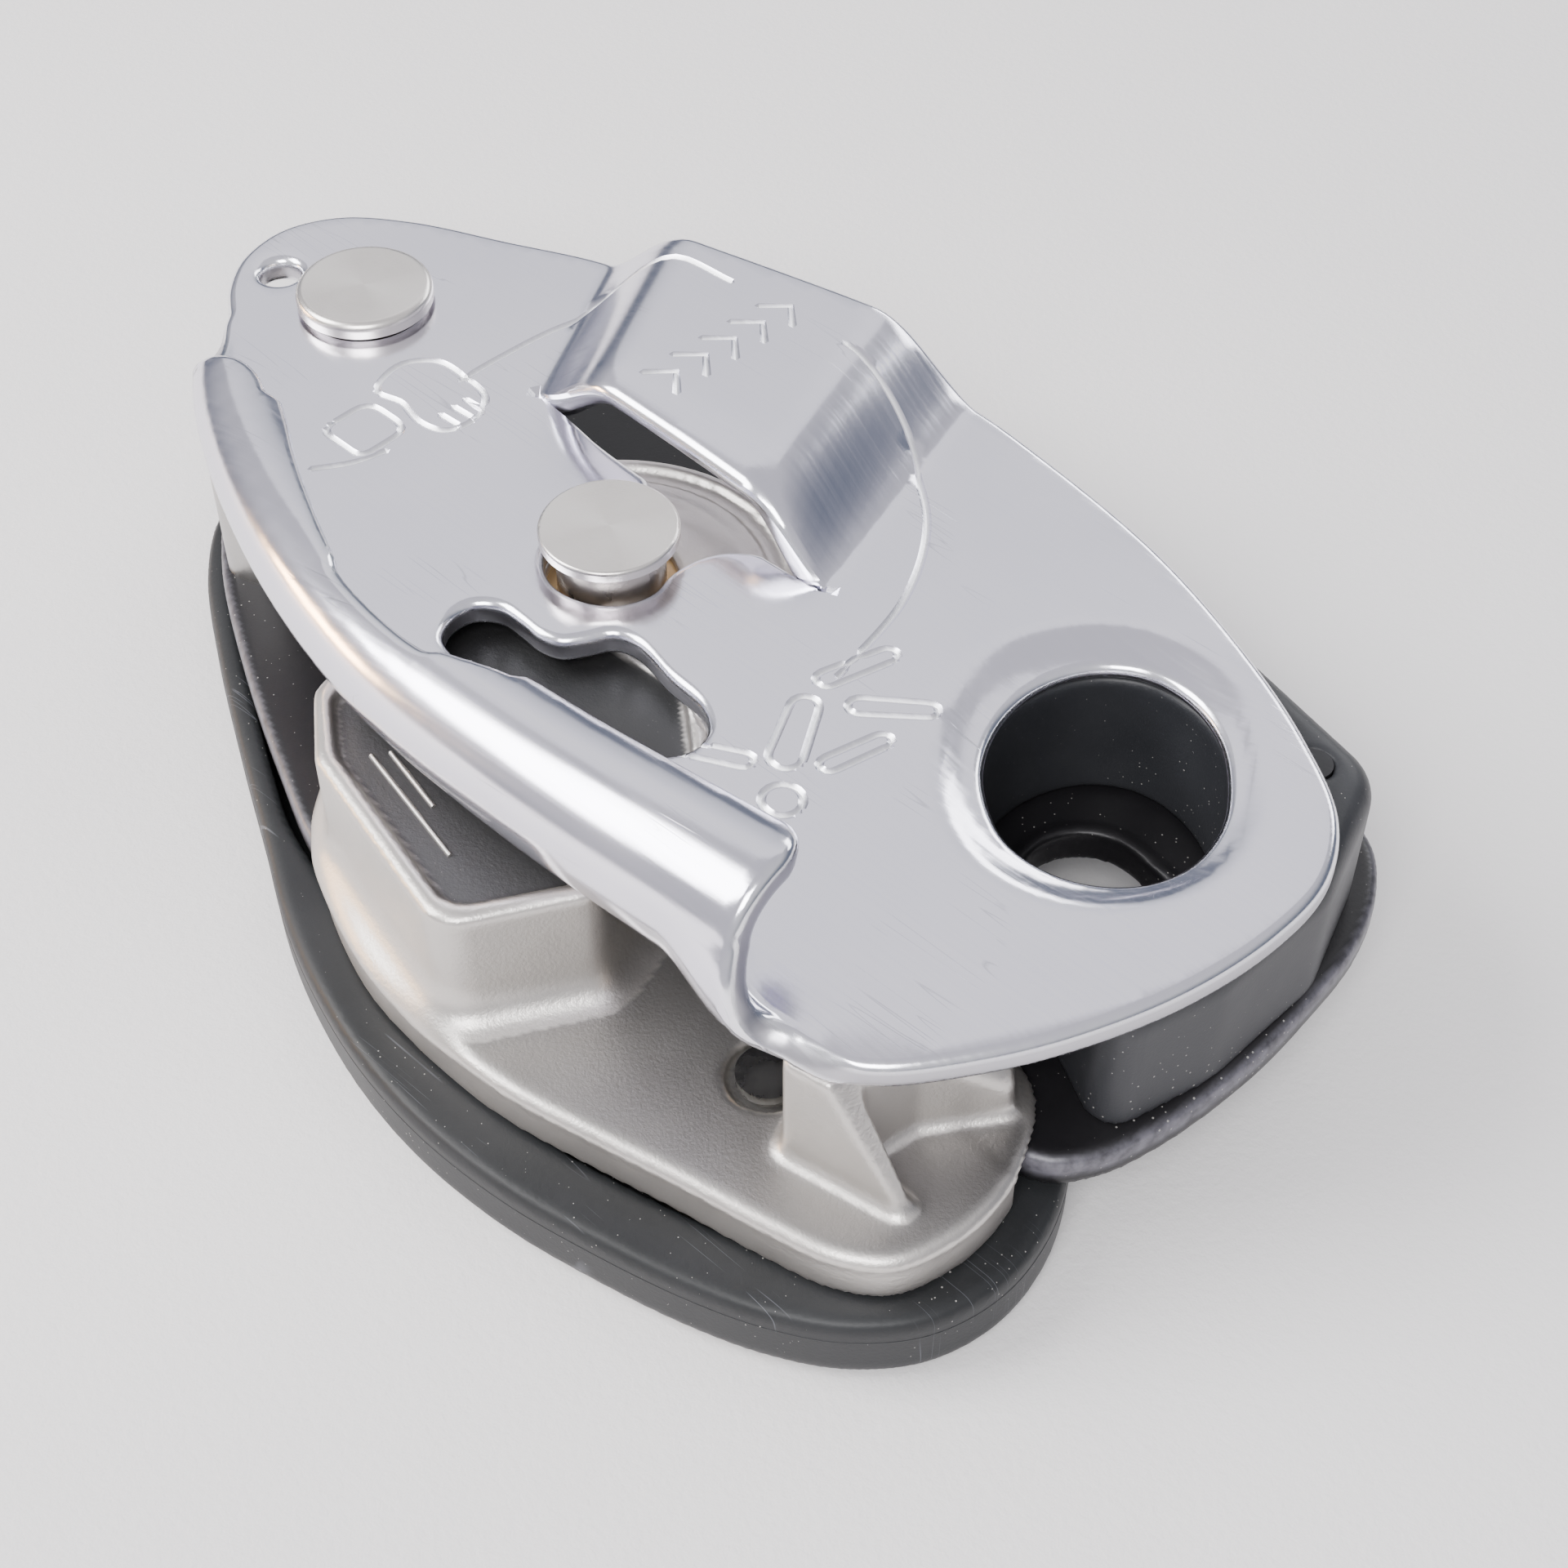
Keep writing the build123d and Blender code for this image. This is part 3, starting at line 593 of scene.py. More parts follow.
@dataclass(frozen=True)
class Finish:
    """A surface finish: two tones, grain, hairlines, scratches, turned rings with painted highlight
    lobes, edge wear with painted highlight, painted shade in recesses, and dust.
    """

    name: str
    light: Triple
    dark: Triple
    metal: float
    rough: tuple[float, float]
    cloud: float = 60.0
    grain: float = 0.0
    grain_scale: float = 2500.0
    hairline: float = 0.0
    scratches: float = 0.0
    rings: float = 0.0
    axis: tuple[float, float] = (0.0, 0.0)
    dust: float = 0.0
    # Colour of rubbed edges; on the polished plate it also paints the rim's highlight.
    edge_wear_and_highlight: Optional[Triple] = None
    # Colour of painted shade on the upward faces of a casting's recesses.
    floor: Optional[Triple] = None
    etched: Optional[Triple] = None
    specular: float = 0.5
    CUT_FACE: ClassVar[Triple] = (0.5, 0.49, 0.53)
    SCRATCH: ClassVar[Triple] = (0.25, 0.26, 0.3)
    # Colour of the painted highlight lobes on turned heads.
    PAINTED_HIGHLIGHT: ClassVar[Triple] = (0.98, 0.94, 0.9)
    SPECK: ClassVar[Triple] = (0.55, 0.53, 0.5)

    def make(self, name: str) -> bpy.types.Material:
        """Builds the material under a name.

        Args:
            name: The material's name.

        Returns:
            The material.
        """
        book = Book(name)
        cloud = book.noise(book.place, self.cloud, 4.0)
        tone = book.mix(book.ramp(cloud, 0.35, 0.68), self.dark, self.light)
        rough = book.ramp(cloud, 0.3, 0.7, *self.rough)
        height = None
        if self.grain:
            grain = book.noise(book.place, self.grain_scale, 2.0, 0.7)
            height = self._add(book, height, grain, self.grain)
            tone = book.mix(book.ramp(grain, 0.35, 0.75, 0.0, 0.22), tone, self.light)
        if self.hairline:
            lines = book.noise(book.scaled((60, 2600, 60), 0.16), 1.0, 2.0, 0.6)
            height = self._add(book, height, lines, self.hairline)
            rough = book.maths("ADD", rough, book.ramp(lines, 0.3, 0.7, -0.035, 0.035))
        if self.scratches:
            height, tone = self._scratch(book, height, tone)
        if self.rings:
            height, rough, tone = self._turn(book, height, rough, tone)
        # Painted shade: upward faces in the recesses are darkened toward the floor colour.
        if self.floor:
            up = book.node("Attribute", {"attribute_name": "recess"}).outputs["Fac"]
            tone = book.mix(up, tone, self.floor)
            rough = book.maths("ADD", rough, book.maths("MULTIPLY", up, 0.14))
        # Paler, patchy tone on rounded edges: wear, and on the polished plate also painted highlight
        # along the rim.
        if self.edge_wear_and_highlight:
            edge = book.node("Attribute", {"attribute_name": "edge"}).outputs["Fac"]
            patchy = book.ramp(book.noise(book.place, 900.0, 4.0), 0.3, 0.6, 0.35, 1.0)
            tone = book.mix(book.maths("MULTIPLY", edge, patchy), tone, self.edge_wear_and_highlight)
        if self.etched:
            etch = book.node("Attribute", {"attribute_name": "etch"}).outputs["Fac"]
            tone = book.mix(etch, tone, self.etched)
            rough = book.maths("ADD", rough, book.maths("MULTIPLY", etch, 0.28))
            wall = book.node("Attribute", {"attribute_name": "edge"}).outputs["Fac"]
            cut = book.ramp(wall, 0.86, 1.0)
            tone = book.mix(cut, tone, self.CUT_FACE)
            rough = book.maths("ADD", rough, book.maths("MULTIPLY", cut, 0.16))
        if self.dust:
            tone, rough = self._dust(book, tone, rough)
        book.set("Base Color", tone)
        book.set("Roughness", rough)
        book.set("Metallic", self.metal)
        book.set("Specular IOR Level", self.specular)
        if height is not None:
            bump = book.node("Bump", Strength=1.0, Distance=1.0, Height=height)
            book.set("Normal", bump.outputs[0])
        return book.material

    @staticmethod
    def _add(book: Book, height: Optional[Socket], value: Socket, strength: float) -> Socket:
        """Adds a layer to the bump height, its strength in millimetres."""
        layer = book.maths("MULTIPLY", value, strength * MM)
        return layer if height is None else book.maths("ADD", height, layer)

    def _scratch(self, book: Book, height: Socket, tone: Socket) -> tuple[Socket, Socket]:
        """Lays a few fine scratches in two directions over the surface.

        Args:
            book: The material's book.
            height: The bump height so far.
            tone: The colour so far.

        Returns:
            The new height and colour.
        """
        for turn, scale in ((0.7, 13.0), (-0.5, 17.0)):
            where = book.scaled((scale * 1.5, scale * 38, scale), turn)
            line = book.noise(where, 1.0, 1.0, 0.5)
            off = book.maths("ABSOLUTE", book.maths("SUBTRACT", line, 0.55))
            thin = book.ramp(off, 0.0, 0.006, 1, 0)
            patch = book.ramp(book.noise(book.place, 75.0 + scale, 1.0), 0.56, 0.62)
            mark = book.maths("MULTIPLY", thin, patch)
            height = self._add(book, height, mark, -self.scratches)
            tone = book.mix(book.maths("MULTIPLY", mark, 0.35), tone, self.SCRATCH)
        return height, tone

    def _turn(
        self, book: Book, height: Optional[Socket], rough: Socket, tone: Socket
    ) -> tuple[Socket, Socket, Socket]:
        """Adds fine turned rings about an upright axis, and two soft lobes of painted highlight
        round it.

        Args:
            book: The material's book.
            height: The bump height so far.
            rough: The roughness so far.
            tone: The colour so far.

        Returns:
            The new height, roughness and colour.
        """
        spot = (self.axis[0] * MM, self.axis[1] * MM, 0.0)
        gap = book.node("VectorMath", {"operation": "SUBTRACT"}, i0=book.place, i1=spot).outputs[0]
        flat = book.node("VectorMath", {"operation": "MULTIPLY"}, i0=gap, i1=(1, 1, 0)).outputs[0]
        radius = book.node("VectorMath", {"operation": "LENGTH"}, i0=flat).outputs["Value"]
        line = book.node("CombineXYZ", X=book.maths("MULTIPLY", radius, 9000.0)).outputs[0]
        ring = book.noise(line, 1.0, 3.0, 0.7)
        height = self._add(book, height, ring, self.rings)
        rough = book.maths("ADD", rough, book.ramp(ring, 0.3, 0.7, -0.05, 0.05))
        parts = book.node("SeparateXYZ", Vector=flat).outputs
        # Painted highlight: a lighter colour in two lobes round the axis stands in for the
        # reflection of the turned rings.
        angle = book.maths("ARCTAN2", parts[1], parts[0])
        highlight_lobe = book.maths("SINE", book.maths("MULTIPLY_ADD", angle, 2.0, 0.9))
        tone = book.mix(book.ramp(highlight_lobe, -0.2, 1.0, 0.0, 0.55), tone, self.PAINTED_HIGHLIGHT)
        return height, rough, tone

    def _dust(self, book: Book, tone: Socket, rough: Socket) -> tuple[Socket, Socket]:
        """Scatters pale specks, thicker in some places.

        Args:
            book: The material's book.
            tone: The colour so far.
            rough: The roughness so far.

        Returns:
            The new colour and roughness.
        """
        cell = book.node("TexVoronoi", Vector=book.place, Scale=1500.0).outputs["Distance"]
        patch = book.ramp(book.noise(book.place, 90.0, 3.0), 0.42, 0.72, 0.04, 0.16 * self.dust)
        speck = book.maths("LESS_THAN", cell, patch)
        tone = book.mix(book.maths("MULTIPLY", speck, 0.55), tone, self.SPECK)
        return tone, book.maths("ADD", rough, book.maths("MULTIPLY", speck, 0.3))


class Finishes(Enum):
    """The object's finishes, one for each kind of surface."""

    PLATE = Finish(
        "polished_plate", (0.87, 0.85, 0.94), (0.8, 0.79, 0.89), 1.0, (0.15, 0.21), 40.0,
        grain=0.002, grain_scale=5000.0, hairline=0.004, scratches=0.003,
        # The paler edge colour here is partly painted highlight on the rim's rounding.
        edge_wear_and_highlight=(0.93, 0.94, 0.97), etched=(0.96, 0.96, 0.98),
    )
    BACK = Finish(
        "black_plate", (0.014, 0.013, 0.015), (0.009, 0.0085, 0.01), 0.3, (0.34, 0.44), 90.0,
        # On the black plate the paler edge colour is wear only.
        grain=0.01, grain_scale=3200.0, dust=0.9, edge_wear_and_highlight=(0.15, 0.145, 0.17),
    )
    # Its floor colour is painted shade in the casting's recesses.
    CAM = Finish(
        "blasted_steel", (0.64, 0.61, 0.58), (0.55, 0.525, 0.5), 0.93, (0.35, 0.42), 70.0,
        grain=0.03, grain_scale=3000.0, dust=0.3, floor=(0.09, 0.09, 0.092),
    )
    SHOE = Finish(
        "ground_steel", (0.5, 0.49, 0.48), (0.42, 0.41, 0.4), 1.0, (0.3, 0.4), 80.0, grain=0.015,
    )
    SPACER = Finish(
        "satin_moulding", (0.026, 0.027, 0.031), (0.018, 0.019, 0.022), 0.0, (0.42, 0.52), 90.0,
        grain=0.012, grain_scale=4200.0, dust=0.8, specular=0.45,
    )
    HANDLE = Finish(
        "handle_nylon", (0.021, 0.022, 0.024), (0.014, 0.015, 0.016), 0.0, (0.42, 0.52), 60.0,
        grain=0.016, grain_scale=3000.0, dust=0.75, scratches=0.003, specular=0.35,
    )
    STEEL = Finish(
        "plain_steel", (0.6, 0.59, 0.57), (0.5, 0.49, 0.47), 1.0, (0.28, 0.38), 120.0, grain=0.01,
    )
    BRONZE = Finish(
        "bronze", (0.55, 0.38, 0.2), (0.42, 0.28, 0.14), 1.0, (0.3, 0.42), 150.0, grain=0.01,
    )
    SPRING = Finish(
        "spring_wire", (0.45, 0.45, 0.46), (0.33, 0.33, 0.35), 1.0, (0.25, 0.35), 200.0,
        grain=0.008,
    )
    # The turned heads' rings also bring two lobes of painted highlight.
    PIVOT_HEAD = Finish(
        "turned_pivot", (0.83, 0.79, 0.755), (0.76, 0.72, 0.685), 1.0, (0.26, 0.32), 200.0,
        rings=0.005, axis=(-80.8, 0.0), grain=0.002,
    )
    AXLE_HEAD = Finish(
        "turned_axle", (0.83, 0.79, 0.755), (0.76, 0.72, 0.685), 1.0, (0.26, 0.32), 200.0,
        rings=0.005, axis=(-42.5, -7.8), grain=0.002,
    )
    RIVET = Finish(
        "black_rivet", (0.03, 0.03, 0.033), (0.018, 0.018, 0.02), 0.4, (0.3, 0.42), 150.0,
        grain=0.01,
    )
    PIN_HEAD = Finish(
        "pin_steel", (0.34, 0.34, 0.33), (0.24, 0.24, 0.23), 1.0, (0.2, 0.32), 300.0,
        grain=0.006,
    )
    TABLE = Finish(
        "pale_board", (0.83, 0.81, 0.81), (0.8, 0.78, 0.785), 0.0, (0.85, 0.95), 8.0,
        grain=0.07, grain_scale=1400.0, specular=0.2,
    )

    def material(self) -> bpy.types.Material:
        """The finish's material, made once."""
        name = "finish_" + self.value.name
        return bpy.data.materials.get(name) or self.value.make(name)


# ---------------------------------------------------------------- moving side plate
@dataclass
class MovingPlate:
    """The polished plate: one stamped sheet with a dome, a slit, dished hole and rolled lip."""

    bottom: float = 15.5
    thick: float = 2.5
    edge: float = 0.85
    mesh_step: float = 1.0
    rim: Points = (
        (0.6, -32.3), (2.8, -31.7), (5.7, -29.7), (9.0, -25.6), (12.6, -19.6),
        (15.9, -11.3), (17.4, -3.0), (17.0, 3.6), (14.0, 9.0), (8.0, 13.4), (0.0, 17.5),
        (-12.0, 21.9), (-26.0, 24.6), (-35.0, 25.4), (-45.0, 23.8), (-53.5, 22.0), (-61.0, 20.3),
        (-70.2, 18.4), (-78.9, 14.6), (-87.2, 10.8), (-92.4, 6.8), (-94.6, 2.0), (-93.9, -3.0),
        (-91.4, -6.6), (-88.4, -9.0),
    )
    root: Points = (
        (-86.0, -10.2), (-75.0, -17.8), (-60.0, -24.2), (-44.0, -28.0), (-28.0, -28.6),
        (-5.2, -27.2),
    )
    root_extra: float = 14.0
    lip_radius: tuple[float, float] = (3.2, 6.2)
    lip_reach: Points = (
        (0.0, 2.9), (0.12, 3.1), (0.2, 2.9), (0.28, 2.1), (0.36, 1.2), (0.44, 0.2), (0.5, -0.5),
        (0.56, -0.5), (0.62, 0.5), (0.68, 2.0), (0.76, 3.1), (1.0, 3.2),
    )
    lip_corner: float = 3.5
    arm_bend: float = 4.2
    lip_blend: Points = (
        (0.05, 10.6), (0.15, 9.7), (0.4, 8.8), (0.8, 8.0), (1.4, 7.2), (2.2, 6.5), (3.2, 5.9),
        (4.4, 5.5),
    )
    lip_start: Points = (
        (-1.2, 0.9), (0.6, 1.3), (2.6, 1.9), (4.6, 2.7), (6.2, 3.7), (7.6, 5.1), (8.8, 6.8),
        (10.2, 8.3), (12.2, 9.3), (14.6, 9.75),
    )
    dome_lift: float = 6.0
    slit: tuple[tuple[float, float], tuple[float, float]] = ((-61.0, 1.9), (-27.8, 0.5))
    slit_gap: float = 0.12
    dish: Points = (
        (-10.4, -7.4), (-14.1, -1.4), (-14.8, 5.1), (-12.4, 10.2), (-8.2, 13.9), (-2.6, 15.0),
        (3.0, 13.7), (7.7, 9.6), (10.8, 4.3), (11.6, -1.3), (9.6, -7.0), (5.2, -11.1),
        (-0.4, -12.5), (-5.6, -11.1),
    )
    dish_depth: float = 0.95
    pivot_hole: Triple = (-80.8, 0.0, 4.45)
    cord_hole: Triple = (-89.6, -2.3, 1.7)
    groove_width: float = 0.72
    groove_depth: float = 0.22
    normal_step: float = 0.18
    slit_taper: float = 6.0
    sharp: float = 27.0
    NECK: ClassVar[int] = 2
    FIGURE: ClassVar[Sequence[Sequence[Triple]]] = (
        ((-15.2, -17.2, 1.5), (-15.25, -17.2, 1.5)),
        ((-18.0, -13.9, 1.3), (-20.4, -9.4, 1.1)),
        ((-19.9, -16.3, 0.75), (-24.0, -18.4, 0.7)),
        ((-15.2, -12.4, 0.75), (-14.0, -8.0, 0.7)),
        ((-21.2, -6.2, 0.85), (-19.6, -1.2, 0.75)),
        ((-17.6, -6.6, 0.85), (-13.6, -3.4, 0.75)),
    )

    def __post_init__(self) -> None:
        """Works out the root line and the lip's measures along it."""
        line = smooth_line(self.root, False, 0.3)
        self.root_length = runs(line)[-1]
        way = directions(line, False)
        before = line[0] - way[0] * self.root_extra
        after = line[-1] + way[-1] * self.root_extra
        self.root_line = np.vstack([before, line, after])
        self.root_run = runs(self.root_line) - self.root_extra
        way = np.vstack([way[0], way, way[-1]])
        self.root_out = np.stack([way[:, 1], -way[:, 0]], axis=1)

    def lip_measures(self, run: np.ndarray) -> tuple[np.ndarray, np.ndarray]:
        """The lip's middle radius and the width of its top arm, along the root line.

        Args:
            run: Distances along the root line.

        Returns:
            The radii and the widths.
        """
        share = np.clip(run / self.root_length, 0, 1)
        first, last = self.lip_radius
        radius = first + (last - first) * share - self.thick / 2
        table = smooth_line(self.lip_reach, False, 0.02)
        return radius, np.interp(share, table[:, 0], table[:, 1])

    def along(self, run: float, out: float) -> np.ndarray:
        """The flat blank's point at a run along the root line and a distance beyond it.

        Args:
            run: The distance along the root line.
            out: The distance out from it.

        Returns:
            x and y.
        """
        base = [np.interp(run, self.root_run, self.root_line[:, k]) for k in (0, 1)]
        way = [np.interp(run, self.root_run, self.root_out[:, k]) for k in (0, 1)]
        return np.array(base) + np.array(way) * out

    def blank(self) -> np.ndarray:
        """The outline of the flat sheet before the lip is rolled.

        Returns:
            The outline's x, y rows.
        """
        rim = smooth_line(self.rim, False, 0.5)
        free = []
        for run, out in smooth_line(self.lip_start, False, 0.6):
            free.append(self.along(run, out))
        for run in np.arange(self.lip_start[-1][0] + 1.2, self.root_length - self.lip_corner, 0.6):
            radius, reach = self.lip_measures(np.array(run))
            free.append(self.along(run, float(math.pi * radius + reach)))
        radius, reach = self.lip_measures(np.array(self.root_length))
        full = float(math.pi * radius + reach)
        corner = self.lip_corner
        for turn in np.linspace(0.1, math.pi / 2, 9):
            back, down = corner * (1 - math.sin(turn)), corner * (1 - math.cos(turn))
            free.append(self.along(self.root_length - back, full - down))
        for out in np.arange(full - corner - 0.6, 11.2, -0.6):
            free.append(self.along(self.root_length, out))
        for run, out in self.lip_blend:
            free.append(self.along(self.root_length + run, out))
        return resample(np.vstack([rim, free]), 0.5)

    def slit_height(self, x: np.ndarray) -> np.ndarray:
        """The y of the slit's line at x."""
        (x0, y0), (x1, y1) = self.slit
        return y0 + (y1 - y0) * (x - x0) / (x1 - x0)

    def neck(self) -> np.ndarray:
        """The opening for the axle's neck, joined with the slit under the dome.

        Returns:
            The opening's x, y rows.
        """
        (x0, _), (x1, _) = self.slit

        def edge(places: np.ndarray, widest: float) -> list[tuple[float, float]]:
            """Points beside the slit's line, spread from it most at its middle."""
            spread = [widest * math.sin(math.pi * (x - x0) / (x1 - x0)) for x in places]
            return [(x, self.slit_height(x) + gap) for x, gap in zip(places, spread)]

        upper = edge(np.linspace(x1, x0, 70), self.slit_gap * 2.2)
        lower = edge(np.linspace(x0, -47.6, 24), -self.slit_gap)
        neck = smooth_line((
            (-47.1, 0.55), (-46.75, -0.2), (-47.2, -2.6), (-47.9, -6.0), (-47.7, -8.6),
            (-46.4, -11.2), (-43.9, -12.8), (-41.0, -12.7), (-38.5, -11.2), (-37.4, -8.6),
            (-37.9, -5.6), (-37.6, -3.1), (-36.6, -1.0), (-35.2, 0.35),
        ), False, 0.4)
        right = edge(np.linspace(-34.4, x1, 14), -self.slit_gap)
        return np.array(lower[1:] + neck.tolist() + right[:-1] + upper[:-1])

    def holes(self) -> list[np.ndarray]:
        """All the loops cut through the sheet.

        Returns:
            A list of closed x, y loops.
        """
        turn = np.linspace(0, 2 * math.pi, 40, endpoint=False)
        ring = np.stack([np.cos(turn), np.sin(turn)], axis=1)
        window = smooth_line((
            (-46.3, -20.9), (-46.2, -18.9), (-44.6, -17.6), (-42.3, -17.5), (-40.2, -17.6),
            (-38.4, -17.0), (-37.2, -15.4), (-36.2, -13.7), (-34.4, -13.1), (-30.0, -13.9),
            (-26.2, -14.4), (-24.0, -15.9), (-23.6, -18.0), (-24.8, -20.0), (-27.6, -22.4),
            (-31.0, -23.6), (-36.0, -23.8), (-42.0, -23.4), (-45.2, -22.6),
        ), True, 0.5)
        round_holes = [np.array((x, y)) + ring * r for x, y, r in (self.pivot_hole, self.cord_hole)]
        return [smooth_line(EYE, True, 0.5), self.neck(), window, *round_holes]

    def marks(self) -> list[np.ndarray]:
        """The engraved lines: a rope's path, chevrons, a plain fist and a plain figure.

        Returns:
            A list of x, y lines; a closed one ends where it starts.
        """
        rope = (
            ((-67.0, -1.5), (-66.9, 2.5), (-66.2, 9.2), (-64.4, 14.0), (-60.5, 17.2),
             (-54.5, 17.9)),
            ((-42.2, 18.4), (-35.6, 17.6), (-29.3, 13.8), (-25.8, 10.0), (-22.6, 3.7),
             (-20.8, -5.4)),
            ((-64.6, -11.6), (-65.4, -14.4), (-67.2, -17.2)),
        )
        lines = [smooth_line(path, False, 0.8) for path in rope]
        for y in (5.6, 8.7, 11.8, 14.9, 18.0):
            x = -49.4 + (y - 5.6) * 0.06
            lines.append(np.array([(x - 1.9, y - 0.9), (x, y + 0.9), (x + 1.9, y - 0.9)]))
        cuff = resample(rounded_loop((
            (-70.4, -13.6, 1.0), (-65.4, -13.6, 1.0), (-65.4, -8.6, 1.2), (-70.4, -8.6, 1.2),
        )), 0.6)
        fist = smooth_line((
            (-70.9, -7.2), (-72.2, -3.6), (-70.4, -1.2), (-67.0, -1.0), (-63.8, -1.6),
            (-62.4, -4.0), (-63.0, -6.6), (-65.2, -7.4), (-68.4, -6.8),
        ), True, 0.6)
        lines += [np.vstack([loop, loop[:1]]) for loop in (cuff, fist)]
        for y in (-5.6, -4.2, -2.9):
            lines.append(np.array([(-64.8, y), (-62.9, y + 0.1)]))
        for ends in self.FIGURE:
            loop = resample(hull_of_circles(ends), 0.45)
            lines.append(np.vstack([loop, loop[:1]]))
        return lines

    def surface(self, plan: np.ndarray, upper: np.ndarray) -> np.ndarray:
        """The sheet's middle surface.

        Args:
            plan: Places on the flat blank.
            upper: Which of them are on the dome's side of the slit.

        Returns:
            x, y, z rows.
        """
        near = nearest(plan, self.root_line, False)
        run = near.run - self.root_extra
        way = np.stack([np.interp(run, self.root_run, self.root_out[:, k]) for k in (0, 1)], axis=1)
        out = ((plan - near.foot) * way).sum(axis=1)
        radius, _ = self.lip_measures(run)
        fade = smoothstep(self.root_length - 7.0, self.root_length + 2.0, run)
        curl = 1 - fade * (1 - smoothstep(4.0, 9.5, out))
        curl *= 0.15 + 0.85 * smoothstep(-3.0, 3.0, run)
        bend = np.maximum(curl / radius, 1e-5)
        arc = np.minimum(out, math.pi * radius)
        angle = bend * np.maximum(arc, 0)
        over = np.maximum(out - math.pi * radius, 0)
        last = angle + over * curl / self.arm_bend
        arm = self.arm_bend / np.maximum(curl, 0.05)
        across = np.sin(angle) / bend + arm * (np.sin(last) - np.sin(angle))
        rise = (1 - np.cos(angle)) / bend + arm * (np.cos(angle) - np.cos(last))
        rolled = out > 0
        flat = plan.copy()
        flat[rolled] = (near.foot + way * across[:, None])[rolled]
        z = self.bottom + self.thick / 2 + np.where(rolled, rise, 0)
        z += self.dome(plan, upper)
        return np.column_stack([flat, z])

    def dome(self, plan: np.ndarray, upper: np.ndarray) -> np.ndarray:
        """How far the sheet is raised at the dome.

        Args:
            plan: Places on the flat blank.
            upper: Which of them are on the dome's side of the slit.

        Returns:
            Heights in millimetres.
        """
        x, y = plan[:, 0], plan[:, 1]
        base_l, top_l = -61.4 - 0.53 * (y - 1.9), -51.8 - 0.5 * (y - 1.9)
        top_r, base_r = -36.4 - 0.33 * (y - 0.5), -27.4 - 0.25 * (y - 0.5)
        left = smoothstep(0, 1, (x - base_l) / (top_l - base_l))
        right = smoothstep(0, 1, (base_r - x) / (base_r - top_r))
        beyond = y - self.slit_height(x)
        brow = 0.9 * np.exp(-np.maximum(beyond, 0) / 1.3)
        tongue = smoothstep(-62, -52, x) * smoothstep(-44.0, -48.0, x)
        heel = smoothstep(-38.5, -35.0, x) * smoothstep(-27.5, -31.0, x)
        sag = 1.5 * tongue * np.exp(np.minimum(beyond, 0) / 2.2)
        sag += 0.5 * heel * np.exp(np.minimum(beyond, 0) / 1.8)
        return np.where(upper, (self.dome_lift - brow) * left * right, -sag)

    def dish_drop(self, plan: np.ndarray) -> np.ndarray:
        """How far the top face is dished round the attachment hole.

        Args:
            plan: Places on the flat blank.

        Returns:
            Depths in millimetres.
        """
        outer = smooth_line(self.dish, True, 0.5)
        near = (np.hypot(plan[:, 0] + 1, plan[:, 1]) < 18) & inside(plan, outer)
        drop = np.zeros(len(plan))
        if near.any():
            to_hole = nearest(plan[near], smooth_line(EYE, True, 0.5), True).distance
            to_edge = nearest(plan[near], outer, True).distance
            share = to_edge / (to_hole + to_edge)
            drop[near] = self.dish_depth * smoothstep(0.0, 0.8, share)
        return drop

    def edge_rings(self, loops: list[np.ndarray]) -> list[np.ndarray]:
        """Rings of points just inside each edge, which carry its rounding.

        Args:
            loops: The sheet's outline, then its holes.

        Returns:
            A list of x, y rows.
        """
        made = []
        steps = [self.edge * (1 - math.cos(a)) for a in (0.45, 0.85, 1.22, math.pi / 2)]
        for number, loop in enumerate(loops):
            way = directions(loop, True)
            inward = np.stack([-way[:, 1], way[:, 0]], axis=1)
            probe = inside(loop + inward * 0.05, loop)
            if (probe.mean() > 0.5) != (number == 0):
                inward = -inward
            for gap in steps:
                ring = loop + inward * gap
                ok = np.ones(len(ring), bool)
                for other in loops:
                    ok &= nearest(ring, other, True).distance > gap - 0.03
                made.append(ring[ok])
        return made

    def filling(self, loops: list[np.ndarray], engraved: list[np.ndarray]) -> np.ndarray:
        """Evenly spread points, in rows on the flat and in bands along the lip.

        Args:
            loops: The sheet's outline, then its holes.
            engraved: The engraved lines, which the points keep clear of.

        Returns:
            x, y rows.
        """
        low, high = np.min(loops[0], axis=0), np.max(loops[0], axis=0)
        step = self.mesh_step
        rows = []
        for k, y in enumerate(np.arange(low[1], high[1], step * 0.87)):
            x = np.arange(low[0], high[0], step) + (k % 2) * step / 2
            rows.append(np.stack([x, np.full(len(x), y)], axis=1))
        fill = np.vstack(rows)
        near = nearest(fill, self.root_line, False)
        fill = fill[((fill - near.foot) * np.array([0, 1])).sum(axis=1) > 0.25]
        bands = []
        for out in np.arange(0.0, 20.0, 0.62):
            line = [self.along(r, out) for r in np.arange(-3, self.root_length + 6, 0.9)]
            bands.append(np.array(line))
        fill = np.vstack([fill] + bands)
        ok = inside(fill, loops[0])
        for number, loop in enumerate(loops):
            ok &= nearest(fill, loop, True).distance > self.edge + 0.3
            if number:
                ok &= ~inside(fill, loop)
        for line in engraved:
            ok &= nearest(fill, line, False).distance > self.groove_width / 2 + 0.3
        return fill[ok]

    def build(self) -> Piece:
        """Triangulates the flat blank, then rolls it and gives it thickness.

        Returns:
            The plate.
        """
        loops, engraved = [self.blank(), *self.holes()], self.marks()
        places, edges = [], []

        def add(line: np.ndarray, closed: bool) -> None:
            """Adds a line to the triangulation as a constraint.

            Args:
                line: x, y rows.
                closed: Whether the last point joins the first.
            """
            start = len(places)
            places.extend(map(tuple, line))
            count = len(line)
            edges.extend((start + k, start + k + 1) for k in range(count - 1))
            if closed:
                edges.append((start + count - 1, start))

